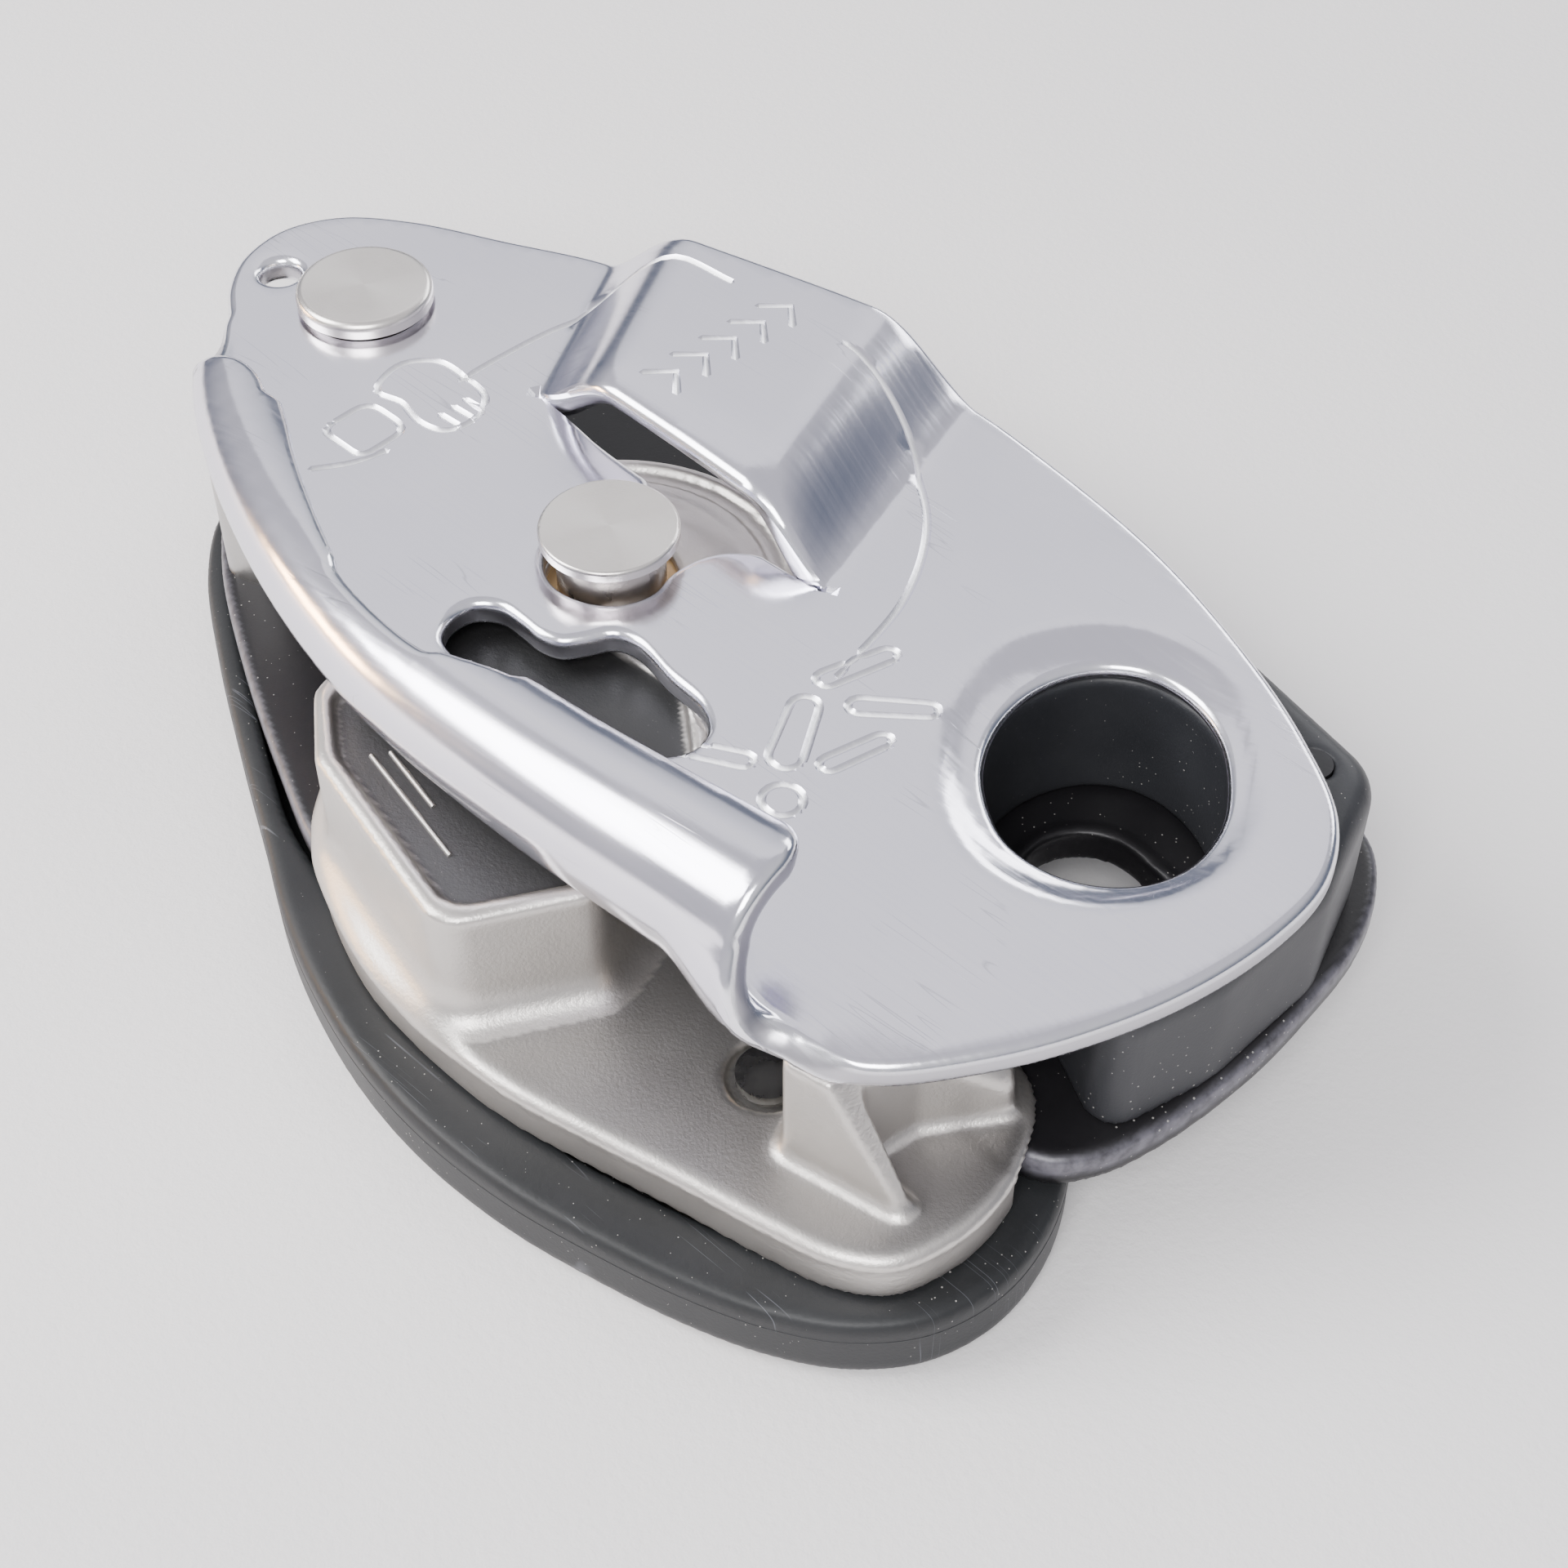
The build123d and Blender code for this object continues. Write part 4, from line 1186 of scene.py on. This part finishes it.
        for loop in loops:
            add(loop, True)
        for ring in self.edge_rings(loops):
            places.extend(map(tuple, ring))
        half = self.groove_width / 2
        for line in engraved:
            way = directions(line, False)
            side = np.stack([-way[:, 1], way[:, 0]], axis=1)
            for shift in (-half, 0.0, half):
                add(line + side * shift, False)
            places.extend(map(tuple, (line[0] - way[0] * half, line[-1] + way[-1] * half)))
        places.extend(map(tuple, self.filling(loops, engraved)))
        made = delaunay_2d_cdt([Vector(p) for p in places], edges, [], 0, 1e-4)
        plan = np.array([tuple(v) for v in made[0]])
        tris = np.array(made[2])
        centre = plan[tris].mean(axis=1)
        keep = inside(centre, loops[0])
        for loop in loops[1:]:
            keep &= ~inside(centre, loop)
        tris = tris[keep]
        used = np.unique(tris)
        renumber = np.full(len(plan), -1)
        renumber[used] = np.arange(len(used))
        plan, tris = plan[used], renumber[tris]
        return self.thicken(plan, tris, loops, engraved)

    def thicken(self, plan: np.ndarray, tris: np.ndarray, loops: list[np.ndarray],
                engraved: list[np.ndarray]) -> Piece:
        """Gives the rolled sheet its thickness, rounded edges, dish and engraving.

        Args:
            plan: Places on the flat blank.
            tris: Triangles between them.
            loops: The sheet's outline, then its holes.
            engraved: The engraved lines.

        Returns:
            The plate.
        """
        gap = np.full(len(plan), 1e9)
        tip = np.min([np.hypot(plan[:, 0] - x, plan[:, 1] - y) for x, y in self.slit], axis=0)
        for number, loop in enumerate(loops):
            distance = nearest(plan, loop, True).distance
            if number == self.NECK:
                distance = distance / np.clip(tip / self.slit_taper, 0.1, 1)
            gap = np.minimum(gap, distance)
        inset = np.clip(self.edge - gap, 0, self.edge)
        half = self.thick / 2 - self.edge + np.sqrt(self.edge**2 - inset**2)
        upper = plan[:, 1] > self.slit_height(plan[:, 0])
        middle = self.surface(plan, upper)
        tiny = self.normal_step
        slopes = [self.surface(plan + way, upper) - self.surface(plan - way, upper)
                  for way in (np.array((tiny, 0)), np.array((0, tiny)))]
        normal = np.cross(*slopes)
        normal /= np.linalg.norm(normal, axis=1)[:, None]
        top = middle + normal * half[:, None]
        low = middle - normal * half[:, None]
        top[:, 2] -= self.dish_drop(plan)
        depth = np.zeros(len(plan))
        for line in engraved:
            on_line = nearest(plan, line, False).distance < 0.03
            depth = np.maximum(depth, on_line * self.groove_depth)
        top -= normal * depth[:, None]
        count = len(plan)
        if np.cross(*(plan[tris[:, k]] - plan[tris[:, 0]] for k in (1, 2))).mean() < 0:
            tris = tris[:, ::-1]
        sides = np.vstack([tris[:, [0, 1]], tris[:, [1, 2]], tris[:, [2, 0]]])
        pairs = {(int(a), int(b)) for a, b in sides}
        walls = [(b, a, a + count, b + count) for a, b in pairs if (b, a) not in pairs]
        faces = tris.tolist() + (tris[:, ::-1] + count).tolist() + walls
        # How near each point lies to an edge; it carries the paler edge tone, partly painted
        # highlight, and the cut face.
        edge_share = np.clip(1 - gap / (self.edge * 0.95), 0, 1)
        etch = smoothstep(0.0, self.groove_depth, depth)
        values = {"edge": np.r_[edge_share, edge_share], "etch": np.r_[etch, 0 * etch]}
        return make_piece("moving_plate", np.vstack([top, low]), faces, self.sharp, values)

    def finish(self) -> list[Piece]:
        """Builds, dresses and mounts the plate.

        Returns:
            The plate alone.
        """
        piece = self.build()
        dress(piece, Finishes.PLATE.material())
        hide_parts("moving_side_plate")
        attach(piece, "side_plate")
        return [piece]


# ---------------------------------------------------------------- cam casting
@dataclass
class CamCasting:
    """The blasted steel cam: sheave, pocketed nose, foot with a fin, and skirt."""

    foot: Points = (
        (-50.6, -31.2), (-48.6, -34.5), (-44.0, -37.6), (-39.0, -39.8), (-34.0, -41.2),
        (-25.5, -41.9), (-19.2, -41.6), (-12.1, -40.2), (-5.1, -38.6), (1.9, -37.2),
        (7.0, -35.8), (10.4, -33.4), (11.9, -29.8), (12.3, -25.6), (11.2, -20.6), (7.9, -15.6),
        (2.0, -14.0), (-12.0, -13.6), (-28.0, -9.0), (-42.0, 3.0), (-53.5, -8.0), (-52.4, -21.0),
    )
    nose: Sequence[Triple] = (
        (-50.4, -31.4, 1.8), (-44.7, -36.0, 2.6), (-26.2, -40.5, 3.0), (-20.2, -30.6, 2.4),
        (-26.5, -9.5, 3.0), (-42.0, 3.0, 4.0), (-55.0, -12.0, 3.0),
    )
    pocket: Sequence[Triple] = (
        (-48.7, -31.0, 1.4), (-44.0, -34.4, 1.8), (-27.0, -38.5, 2.6), (-22.0, -30.4, 1.8),
        (-24.4, -17.0, 2.0), (-31.0, -11.6, 2.0), (-50.6, -13.6, 2.0),
    )
    bar_ends: Sequence[Points] = (
        ((-42.6, -32.4), (-31.0, -34.9)), ((-41.8, -31.2), (-35.4, -32.6)),
        ((-41.0, -30.0), (-37.6, -30.7)),
    )
    bar_radius: float = 0.22
    axle: tuple[float, float] = (-42.5, -7.8)
    pin: tuple[float, float] = (-6.4, -27.9)
    top: float = 15.2
    floor: float = 4.2
    base: float = 3.4
    hub: float = 10.5
    cheek: float = 15.0
    cheek_groove: tuple[float, float] = (13.8, 12.4)
    axle_bore: float = 5.2
    spring_seat: float = 7.9
    pin_recess: float = 3.1
    pin_bore: float = 1.9
    step: float = 0.36

    def build(self) -> Piece:
        """Makes the casting's surface.

        Returns:
            The casting.
        """
        grid = Casting((-59.5, -42.8, -1.0), (13.2, 8.6, 16.4), self.step)
        foot = grid.outline(smooth_line(self.foot, True, 0.6))
        nose = grid.outline(rounded_loop(self.nose))
        under_plate = grid.outline(rounded_loop((
            (-60, -34.4, 1), (-47.5, -36.8, 1), (-36.9, -36.8, 3), (-14.8, -19.6, 4), (16, -22.4, 1),
            (16, 12, 1), (-60, 12, 1))))
        body = grid.prism(foot, self.base, self.floor, 1.0)
        skirt = grid.prism(np.maximum(foot, -under_plate), -0.1, self.floor, 1.15, 0.4)
        body = soft_union(body, skirt, 0.5)
        body = soft_union(body, grid.prism(nose, self.base, self.top, 0.75), 3.6)
        body = soft_union(body, self.fin(grid), 1.5)
        discs = ((self.cheek, self.base, 4.9), (self.hub, self.base, self.top),
                 (self.cheek, 13.4, self.top))
        for radius, low, high in discs:
            disc = grid.prism(grid.circle(self.axle, radius), low, high, 0.4, 0.4)
            body = soft_union(body, disc, 1.6)
        outer, inner = (grid.circle(self.axle, radius) for radius in self.cheek_groove)
        groove = np.maximum(outer, -inner)
        body = soft_cut(body, grid.prism(groove, self.top - 0.5, self.top + 1, 0.1), 0.3)
        pocket = grid.outline(rounded_loop(self.pocket))
        body = soft_cut(body, grid.prism(pocket, self.top - 1.0, self.top + 3, 0.1, 0.3), 0.5)
        for radius, high in ((self.axle_bore, 18), (self.spring_seat, 7.6)):
            bore = grid.prism(grid.circle(self.axle, radius), -1, high, 0.05)
            body = np.maximum(body, -bore)
        recess = grid.prism(grid.circle(self.pin, self.pin_recess), self.base, 9, 0.1)
        body = soft_cut(body, recess, 0.3)
        body = np.maximum(body, -grid.prism(grid.circle(self.pin, self.pin_bore), -3, 9, 0.05))
        piece = grid.piece("cam_casting", body)
        self.mark_recesses(piece)
        return piece

    def bars(self) -> list[Piece]:
        """The short raised bars on the pocket's floor, each a bead half sunk in it.

        Returns:
            The bars.
        """
        made = []
        for number, (start, end) in enumerate(self.bar_ends):
            path = smooth_line((start, end), False, 0.4)
            path = np.column_stack([path, np.full(len(path), self.top - 0.98)])
            made.append(swept_bead(f"cam_pocket_bar_{number}", path, self.bar_radius, False))
        return made

    def fin(self, grid: Casting) -> np.ndarray:
        """The upright fin on the foot, whose ridge slopes down to a point.

        Args:
            grid: The casting's grid.

        Returns:
            The fin's distance field.
        """
        plan = grid.outline(rounded_loop((
            (-2.6, -28.9, 0.8), (-1.3, -32.2, 1.0), (8.6, -30.4, 0.7), (8.3, -29.2, 0.5),
            (3.2, -29.2, 0.6), (4.2, -24.2, 0.6), (8.4, -18.4, 0.6), (5.0, -15.6, 0.8),
            (-2.6, -22.4, 0.8),
        )))
        x = grid.x[:, None, None]
        z = grid.z[None, None, :]
        y = grid.y[None, :, None]
        ridge = (z - 14.9 + 1.62 * np.maximum(x - 2.4, 0)) / 1.9
        bank = (z - 14.9 + 1.25 * np.maximum(x - 2.0, 0)) / 1.6
        shape = np.where(y < -28.4, ridge, bank).astype(np.float32)
        wall = grid.prism(plan, 3.6, 14.9, 0.5)
        return -soft_union(-wall, -shape, 0.5)

    def mark_recesses(self, piece: Piece) -> None:
        """Keeps where shade is painted on the casting: the upward faces of the pocket, the floor and
        the sheave's faces.

        Args:
            piece: The casting.
        """
        z = (vertex_rows(piece.data, "co") / MM)[:, 2]
        up = smoothstep(0.86, 0.985, vertex_rows(piece.data, "normal")[:, 2])
        sunk = (z < self.top - 0.6) & (z > 2)
        # Painted shade strength: part strength on the lower floor, full in the pocket.
        floor_shade_share = (z < self.floor + 0.25) * 0.62
        pocket = (z > self.top - 1.5) * 1.0
        keep_values(piece.data, "recess", up * np.where(sunk, np.maximum(floor_shade_share, pocket), 0))

    def finish(self) -> list[Piece]:
        """Builds, dresses and mounts the casting.

        Returns:
            The casting and its bars.
        """
        casting, bars = self.build(), self.bars()
        for piece in (casting, *bars):
            dress(piece, Finishes.CAM.material())
            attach(piece, "cam")
        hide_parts("cam")
        return [casting, *bars]


# ---------------------------------------------------------------- handle
@dataclass
class Handle:
    """The dark moulded handle: a shallow trough with a rounded wall."""

    outer: Points = (
        (-89.0, -9.0), (-87.2, -14.6), (-82.0, -20.0), (-74.0, -25.2), (-64.8, -30.4),
        (-55.0, -35.6), (-46.3, -40.3), (-39.5, -43.0), (-32.0, -45.0), (-24.0, -45.9),
        (-15.6, -45.5), (-8.0, -44.1), (-1.0, -42.3), (4.8, -40.1), (9.8, -37.0), (13.6, -32.4),
        (15.1, -26.2), (13.6, -19.0), (9.6, -13.4), (3.0, -11.6), (-8.0, -14.6), (-22.0, -22.0),
        (-50.0, -25.2), (-71.0, -18.4), (-83.5, -8.6),
    )
    wall: float = 2.1
    extra_wall: float = 3.0
    low: float = -7.0
    high: float = -0.4
    floor: float = 1.8
    pin: tuple[float, float] = (-6.4, -27.9)
    boss: float = 6.0
    boss_top: float = -2.6
    washer_room: float = 7.0
    tail_room: float = 3.4
    pin_bore: float = 1.9
    parting_height: float = -2.3
    parting_radius: float = 0.1
    step: float = 0.42

    def build(self) -> Piece:
        """Makes the trough's surface.

        Returns:
            The trough.
        """
        grid = Casting((-91.4, -47.6, -8.2), (16.8, -6.0, 1.2), self.step)
        plan = grid.outline(smooth_line(self.outer, True, 0.7))
        shell = grid.prism(plan, self.low, self.high, 1.0, 1.7)
        wall = self.wall + self.extra_wall * smoothstep(-56.0, -40.0, grid.x)[:, None, None]
        room = grid.prism(plan + wall, self.low + self.floor, 6.0, 0.1, 0.5)
        boss = grid.prism(grid.circle(self.pin, self.boss), -9, self.boss_top, 0.3)
        shell = soft_cut(shell, np.maximum(room, -boss), 0.4)
        bores = ((self.washer_room, self.boss_top, 2), (self.tail_room, -9, -5.3),
                 (self.pin_bore, -9, 3))
        for radius, low, high in bores:
            bore = grid.prism(grid.circle(self.pin, radius), low, high, 0.1)
            shell = np.maximum(shell, -bore)
        return grid.piece("handle_trough", shell)

    def parting_line(self) -> Piece:
        """The mould's fine parting ridge, a bead swept round the wall's shoulder.

        Returns:
            The ridge.
        """
        line = smooth_line(self.outer, True, 0.9)
        way = directions(line, True)
        line = line + np.stack([way[:, 1], -way[:, 0]], axis=1) * -0.06
        path = np.column_stack([line, np.full(len(line), self.parting_height)])
        return swept_bead("handle_parting_line", path, self.parting_radius, True)

    def finish(self) -> list[Piece]:
        """Builds, dresses and mounts the handle.

        Returns:
            The trough and its parting line.
        """
        shell, ridge = self.build(), self.parting_line()
        for piece in (shell, ridge):
            dress(piece, Finishes.HANDLE.material())
            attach(piece, "handle")
        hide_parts("handle_shell")
        return [shell, ridge]


def swept_bead(name: str, path: np.ndarray, radius: float, closed: bool) -> Piece:
    """Sweeps a round bead along a path with Geometry Nodes.

    Args:
        name: The piece's name.
        path: x, y, z rows in millimetres.
        radius: The bead's radius in millimetres.
        closed: Whether the path closes.

    Returns:
        The bead as a plain mesh object.
    """
    mesh = bpy.data.meshes.new(name + "_path")
    count = len(path)
    edges = [(k, (k + 1) % count) for k in range(count if closed else count - 1)]
    mesh.from_pydata((path * MM).tolist(), edges, [])
    source = bpy.data.objects.new(name + "_path", mesh)
    bpy.context.scene.collection.objects.link(source)
    tree = bpy.data.node_groups.get("bead_sweep") or bead_tree()
    modifier = source.modifiers.new("bead", "NODES")
    modifier.node_group = tree
    for item in tree.interface.items_tree:
        if item.item_type == "SOCKET" and item.in_out == "INPUT" and item.name == "Radius":
            modifier[item.identifier] = radius * MM
    graph = bpy.context.evaluated_depsgraph_get()
    made = bpy.data.meshes.new_from_object(source.evaluated_get(graph))
    source.modifiers.clear()
    bpy.data.objects.remove(source)
    bpy.data.meshes.remove(mesh)
    made.name = name
    return finish_mesh(name, made, 60.0)


def bead_tree() -> bpy.types.NodeTree:
    """Builds the node tree that sweeps a round section along a path.

    Returns:
        The node tree, with the path and the Radius as its inputs.
    """
    tree = bpy.data.node_groups.new("bead_sweep", "GeometryNodeTree")
    tree.interface.new_socket("Geometry", in_out="INPUT", socket_type="NodeSocketGeometry")
    tree.interface.new_socket("Radius", in_out="INPUT", socket_type="NodeSocketFloat")
    tree.interface.new_socket("Geometry", in_out="OUTPUT", socket_type="NodeSocketGeometry")
    add, link = tree.nodes.new, tree.links.new
    start, end = add("NodeGroupInput"), add("NodeGroupOutput")
    curve, circle = add("GeometryNodeMeshToCurve"), add("GeometryNodeCurvePrimitiveCircle")
    kinds = ("CurveToMesh", "RealizeInstances", "SetMaterial")
    tube, real, paint = (add("GeometryNode" + kind) for kind in kinds)
    circle.inputs["Resolution"].default_value = 8
    tube.inputs["Fill Caps"].default_value = True
    link(start.outputs["Geometry"], curve.inputs[0])
    link(start.outputs["Radius"], circle.inputs["Radius"])
    link(curve.outputs[0], tube.inputs["Curve"])
    link(circle.outputs[0], tube.inputs["Profile Curve"])
    link(tube.outputs[0], real.inputs[0])
    link(real.outputs[0], paint.inputs[0])
    link(paint.outputs[0], end.inputs[0])
    return tree


# ---------------------------------------------------------------- back plate and spacer
@dataclass
class BackAndSpacer:
    """The black fixed plate and the moulded spacer at the attachment end."""

    plate: Points = (
        (-94.2, 0.0), (-92.6, -6.8), (-87.0, -13.2), (-78.6, -20.4), (-68.2, -26.4),
        (-57.0, -31.8), (-47.5, -35.6), (-41.0, -35.8), (-35.2, -33.6), (-26.0, -26.6),
        (-16.0, -20.6), (-4.0, -20.0), (8.0, -20.4), (12.2, -19.2), (14.6, -16.1), (16.0, -11.9),
        (16.9, -6.7), (17.3, -1.1), (17.1, 5.6), (16.4, 11.9), (14.6, 17.0), (11.2, 21.2),
        (4.0, 23.4), (-12.0, 24.4), (-38.0, 24.5), (-62.0, 24.0), (-78.0, 17.8), (-88.0, 11.6),
        (-92.8, 6.2),
    )
    plate_thick: float = 3.0
    spacer: Sequence[Triple] = (
        (13.6, -15.4, 2.4), (16.2, -6.0, 6.0), (16.6, 5.6, 6.0), (12.6, 17.2, 5.0),
        (-4.0, 21.2, 4.0), (-16.5, 18.0, 2.0), (-15.5, 3.0, 3.0), (-8.5, -11.6, 2.0),
        (6.4, -11.6, 1.2),
    )
    spacer_low: float = 3.05
    spacer_top: float = 15.2
    hole: Sequence[Triple] = ((-2.0, 2.4, 5.0), (4.0, 2.0, 4.4), (0.5, -3.0, 5.2))
    axle_bores: Points = ((-80.8, 0.0, 3.05, 4.65), (-42.5, -7.8, 3.05, 0.0))
    rivets: Points = ((-75.0, -13.0), (12.6, -6.5), (8.6, 14.0), (-12.6, 6.5))
    rivet_bore: float = 1.55
    rivet_sunk: float = 2.45

    def build_plate(self) -> Piece:
        """Makes the fixed plate, with a raised rim round its hole.

        Returns:
            The plate.
        """
        grid = Casting((-96.0, -37.6, -1.0), (19.4, 26.2, 4.4), 0.4)
        edge = smooth_line(self.plate, True, 0.7)
        hole = grid.outline(hull_of_circles(self.hole))
        rim = np.abs(hole - 0.5) - 0.5
        body = grid.prism(grid.outline(edge), 0.0, self.plate_thick, 0.85, 0.5)
        body = soft_union(body, grid.prism(rim, 1.0, 3.15, 0.3, 0.3), 0.5)
        body = soft_cut(body, grid.prism(hole, -3, 7, 0.1), 0.5)
        riveted = [(x, y, self.rivet_bore, self.rivet_sunk) for x, y in self.rivets]
        for x, y, bore, sunk in (*self.axle_bores, *riveted):
            body = np.maximum(body, -grid.prism(grid.circle((x, y), bore), -3, 7, 0.1))
            if sunk:
                body = np.maximum(body, -grid.prism(grid.circle((x, y), sunk), -3, 1.0, 0.1))
        piece = grid.piece("back_plate", body)
        places = vertex_rows(piece.data, "co") / MM
        near = nearest(places[:, :2], edge, True).distance
        edge_share = smoothstep(0.7, 0.1, near) * smoothstep(0.9, 1.6, places[:, 2])
        keep_values(piece.data, "edge", edge_share)
        return piece

    def build_spacer(self) -> Piece:
        """Makes the spacer, rounded along its top and open for the carabiner.

        Returns:
            The spacer.
        """
        grid = Casting((-18.0, -17.2, 2.4), (17.8, 22.2, 16.4), 0.36)
        plan = grid.outline(rounded_loop(self.spacer))
        body = grid.prism(plan, self.spacer_low, self.spacer_top, 2.2, 0.2)
        hole = grid.outline(smooth_line(EYE, True, 0.5)) - 0.5
        body = soft_cut(body, grid.prism(hole, -3, 20, 0.1), 0.8)
        for place in self.rivets[1:]:
            bore = grid.prism(grid.circle(place, self.rivet_bore), -3, 20, 0.1)
            body = np.maximum(body, -bore)
        return grid.piece("spacer_moulding", body)

    def finish(self) -> list[Piece]:
        """Builds, dresses and mounts the plate and the spacer.

        Returns:
            The plate and the spacer.
        """
        plate, spacer = self.build_plate(), self.build_spacer()
        dress(plate, Finishes.BACK.material())
        dress(spacer, Finishes.SPACER.material())
        for piece, slot, node in (
            (plate, "black_anodised", "fixed_side_plate"),
            (spacer, "dark_polymer", "carabiner_spacer"),
        ):
            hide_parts(node)
            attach(piece, "frame")
        return [plate, spacer]


# ---------------------------------------------------------------- fasteners
class Hardware:
    """The turned and plain steel nodes that keep their modelled shape."""

    FINISH: ClassVar[dict[str, Finishes]] = {
        "pivot_rivet": Finishes.PIVOT_HEAD, "cam_axle": Finishes.AXLE_HEAD,
        "pivot_bush": Finishes.BRONZE, "cam_bush": Finishes.BRONZE,
        "friction_shoe": Finishes.SHOE, "handle_pin": Finishes.PIN_HEAD,
        "cam_spring": Finishes.SPRING, "handle_spring": Finishes.SPRING,
        "spacer_rivet_1": Finishes.RIVET, "spacer_rivet_2": Finishes.RIVET,
        "spacer_rivet_3": Finishes.RIVET,
    }

    def finish(self) -> list[Piece]:
        """Dresses every node that isn't replaced.

        Returns:
            The nodes dressed.
        """
        done = []
        for name, node in sorted(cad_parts.items()):
            if node.hide_render:
                continue
            finish = self.FINISH.get(name, Finishes.STEEL).material()
            if node.material_slots:
                for held in node.material_slots:
                    held.material = finish
            else:
                node.data.materials.append(finish)
            done.append(node)
        return done


# ---------------------------------------------------------------- studio
@dataclass
class Studio:
    """The pale board, the soft lights and the camera."""

    look_at: Triple = (-16.2, -16.0, 18.0)
    stand: Triple = (70.6, -107.2, 154.4)
    lens: float = 60.0
    sensor: float = 36.0
    board: float = 4.0
    board_cells: int = 24
    sky_strength: float = 0.78
    sky_way: Triple = (0.0, -0.4, 1.0)
    sky_dark: tuple[float, ...] = (0.2, 0.23, 0.3, 1)
    sky_light: tuple[float, ...] = (0.96, 0.95, 1.0, 1)

    def table(self) -> None:
        """Lays the board that the part rests on, at its lowest point."""
        low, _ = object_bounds()
        mesh = bpy.data.meshes.new("board")
        work = bmesh.new()
        cells = self.board_cells
        bmesh.ops.create_grid(work, x_segments=cells, y_segments=cells, size=self.board / 2)
        bmesh.ops.translate(work, verts=work.verts, vec=(0, 0, low.z))
        work.to_mesh(mesh)
        work.free()
        board = bpy.data.objects.new("board", mesh)
        bpy.context.scene.collection.objects.link(board)
        dress(board, Finishes.TABLE.material())
        board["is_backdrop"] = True

    def lamp(self, name: str, place: Triple, power: float, size: tuple[float, float],
             colour: Triple = (1, 1, 1)) -> None:
        """Adds a soft rectangular lamp aimed at the part.

        Args:
            name: The lamp's name.
            place: Where it hangs, in millimetres.
            power: Its power in watts.
            size: Its sides in millimetres.
            colour: Its light's colour.
        """
        data = bpy.data.lights.new(name, "AREA")
        data.shape, data.size, data.size_y = "RECTANGLE", size[0] * MM, size[1] * MM
        data.energy, data.color = power, colour
        lamp = bpy.data.objects.new(name, data)
        lamp.location = Vector(place) * MM
        aim = Vector(self.look_at) * MM - lamp.location
        lamp.rotation_mode = "QUATERNION"
        lamp.rotation_quaternion = aim.to_track_quat("-Z", "Y")
        bpy.context.scene.collection.objects.link(lamp)

    def light(self) -> None:
        """Lights the scene softly from the upper left and behind."""
        world = bpy.data.worlds.new("studio")
        bpy.context.scene.world = world
        world.use_nodes = True
        shade = world.node_tree.nodes["Background"]
        add, link = world.node_tree.nodes.new, world.node_tree.links.new
        way, tilt = add("ShaderNodeTexCoord"), add("ShaderNodeVectorMath")
        tilt.operation = "DOT_PRODUCT"
        tilt.inputs[1].default_value = self.sky_way
        sky = add("ShaderNodeValToRGB")
        dark, light = sky.color_ramp.elements
        dark.position, dark.color = 0.0, self.sky_dark
        light.position, light.color = 0.5, self.sky_light
        link(way.outputs["Generated"], tilt.inputs[0])
        link(tilt.outputs["Value"], sky.inputs[0])
        link(sky.outputs[0], shade.inputs[0])
        shade.inputs[1].default_value = self.sky_strength
        self.lamp("soft_left", (-380, -330, 460), 5.4, (360, 360))
        self.lamp("soft_front", (240, -420, 520), 5.4, (360, 320))
        self.lamp("soft_back", (-120, 620, 300), 1.5, (500, 160))
        self.lamp("sky_panel", (-620, 660, 720), 1.8, (1100, 900))
        self.lamp("warm_edge", (-420, -260, 60), 0.7, (140, 60), (1.0, 0.62, 0.3))

    def camera(self) -> None:
        """Sets up the camera."""
        data = bpy.data.cameras.new("view")
        data.lens, data.sensor_width = self.lens, self.sensor
        data.clip_start, data.clip_end = 0.01, 10.0
        camera = bpy.data.objects.new("view", data)
        camera.location = Vector(self.stand) * MM
        aim = (Vector(self.look_at) - Vector(self.stand)) * MM
        camera.rotation_mode = "QUATERNION"
        camera.rotation_quaternion = aim.to_track_quat("-Z", "Y")
        bpy.context.scene.collection.objects.link(camera)
        bpy.context.scene.camera = camera


def main() -> None:
    """Builds the whole object, then measures it."""
    logging.basicConfig(level=logging.INFO, format="%(message)s")
    studio = Studio()
    studio.camera()
    for part in (MovingPlate(), CamCasting(), Handle(), BackAndSpacer(), Hardware()):
        for piece in part.finish():
            LOG.info("%s: %s, %d faces", type(part).__name__, piece.name, len(piece.data.polygons))
    studio.table()
    studio.light()


if __name__ == "__main__":
    main()
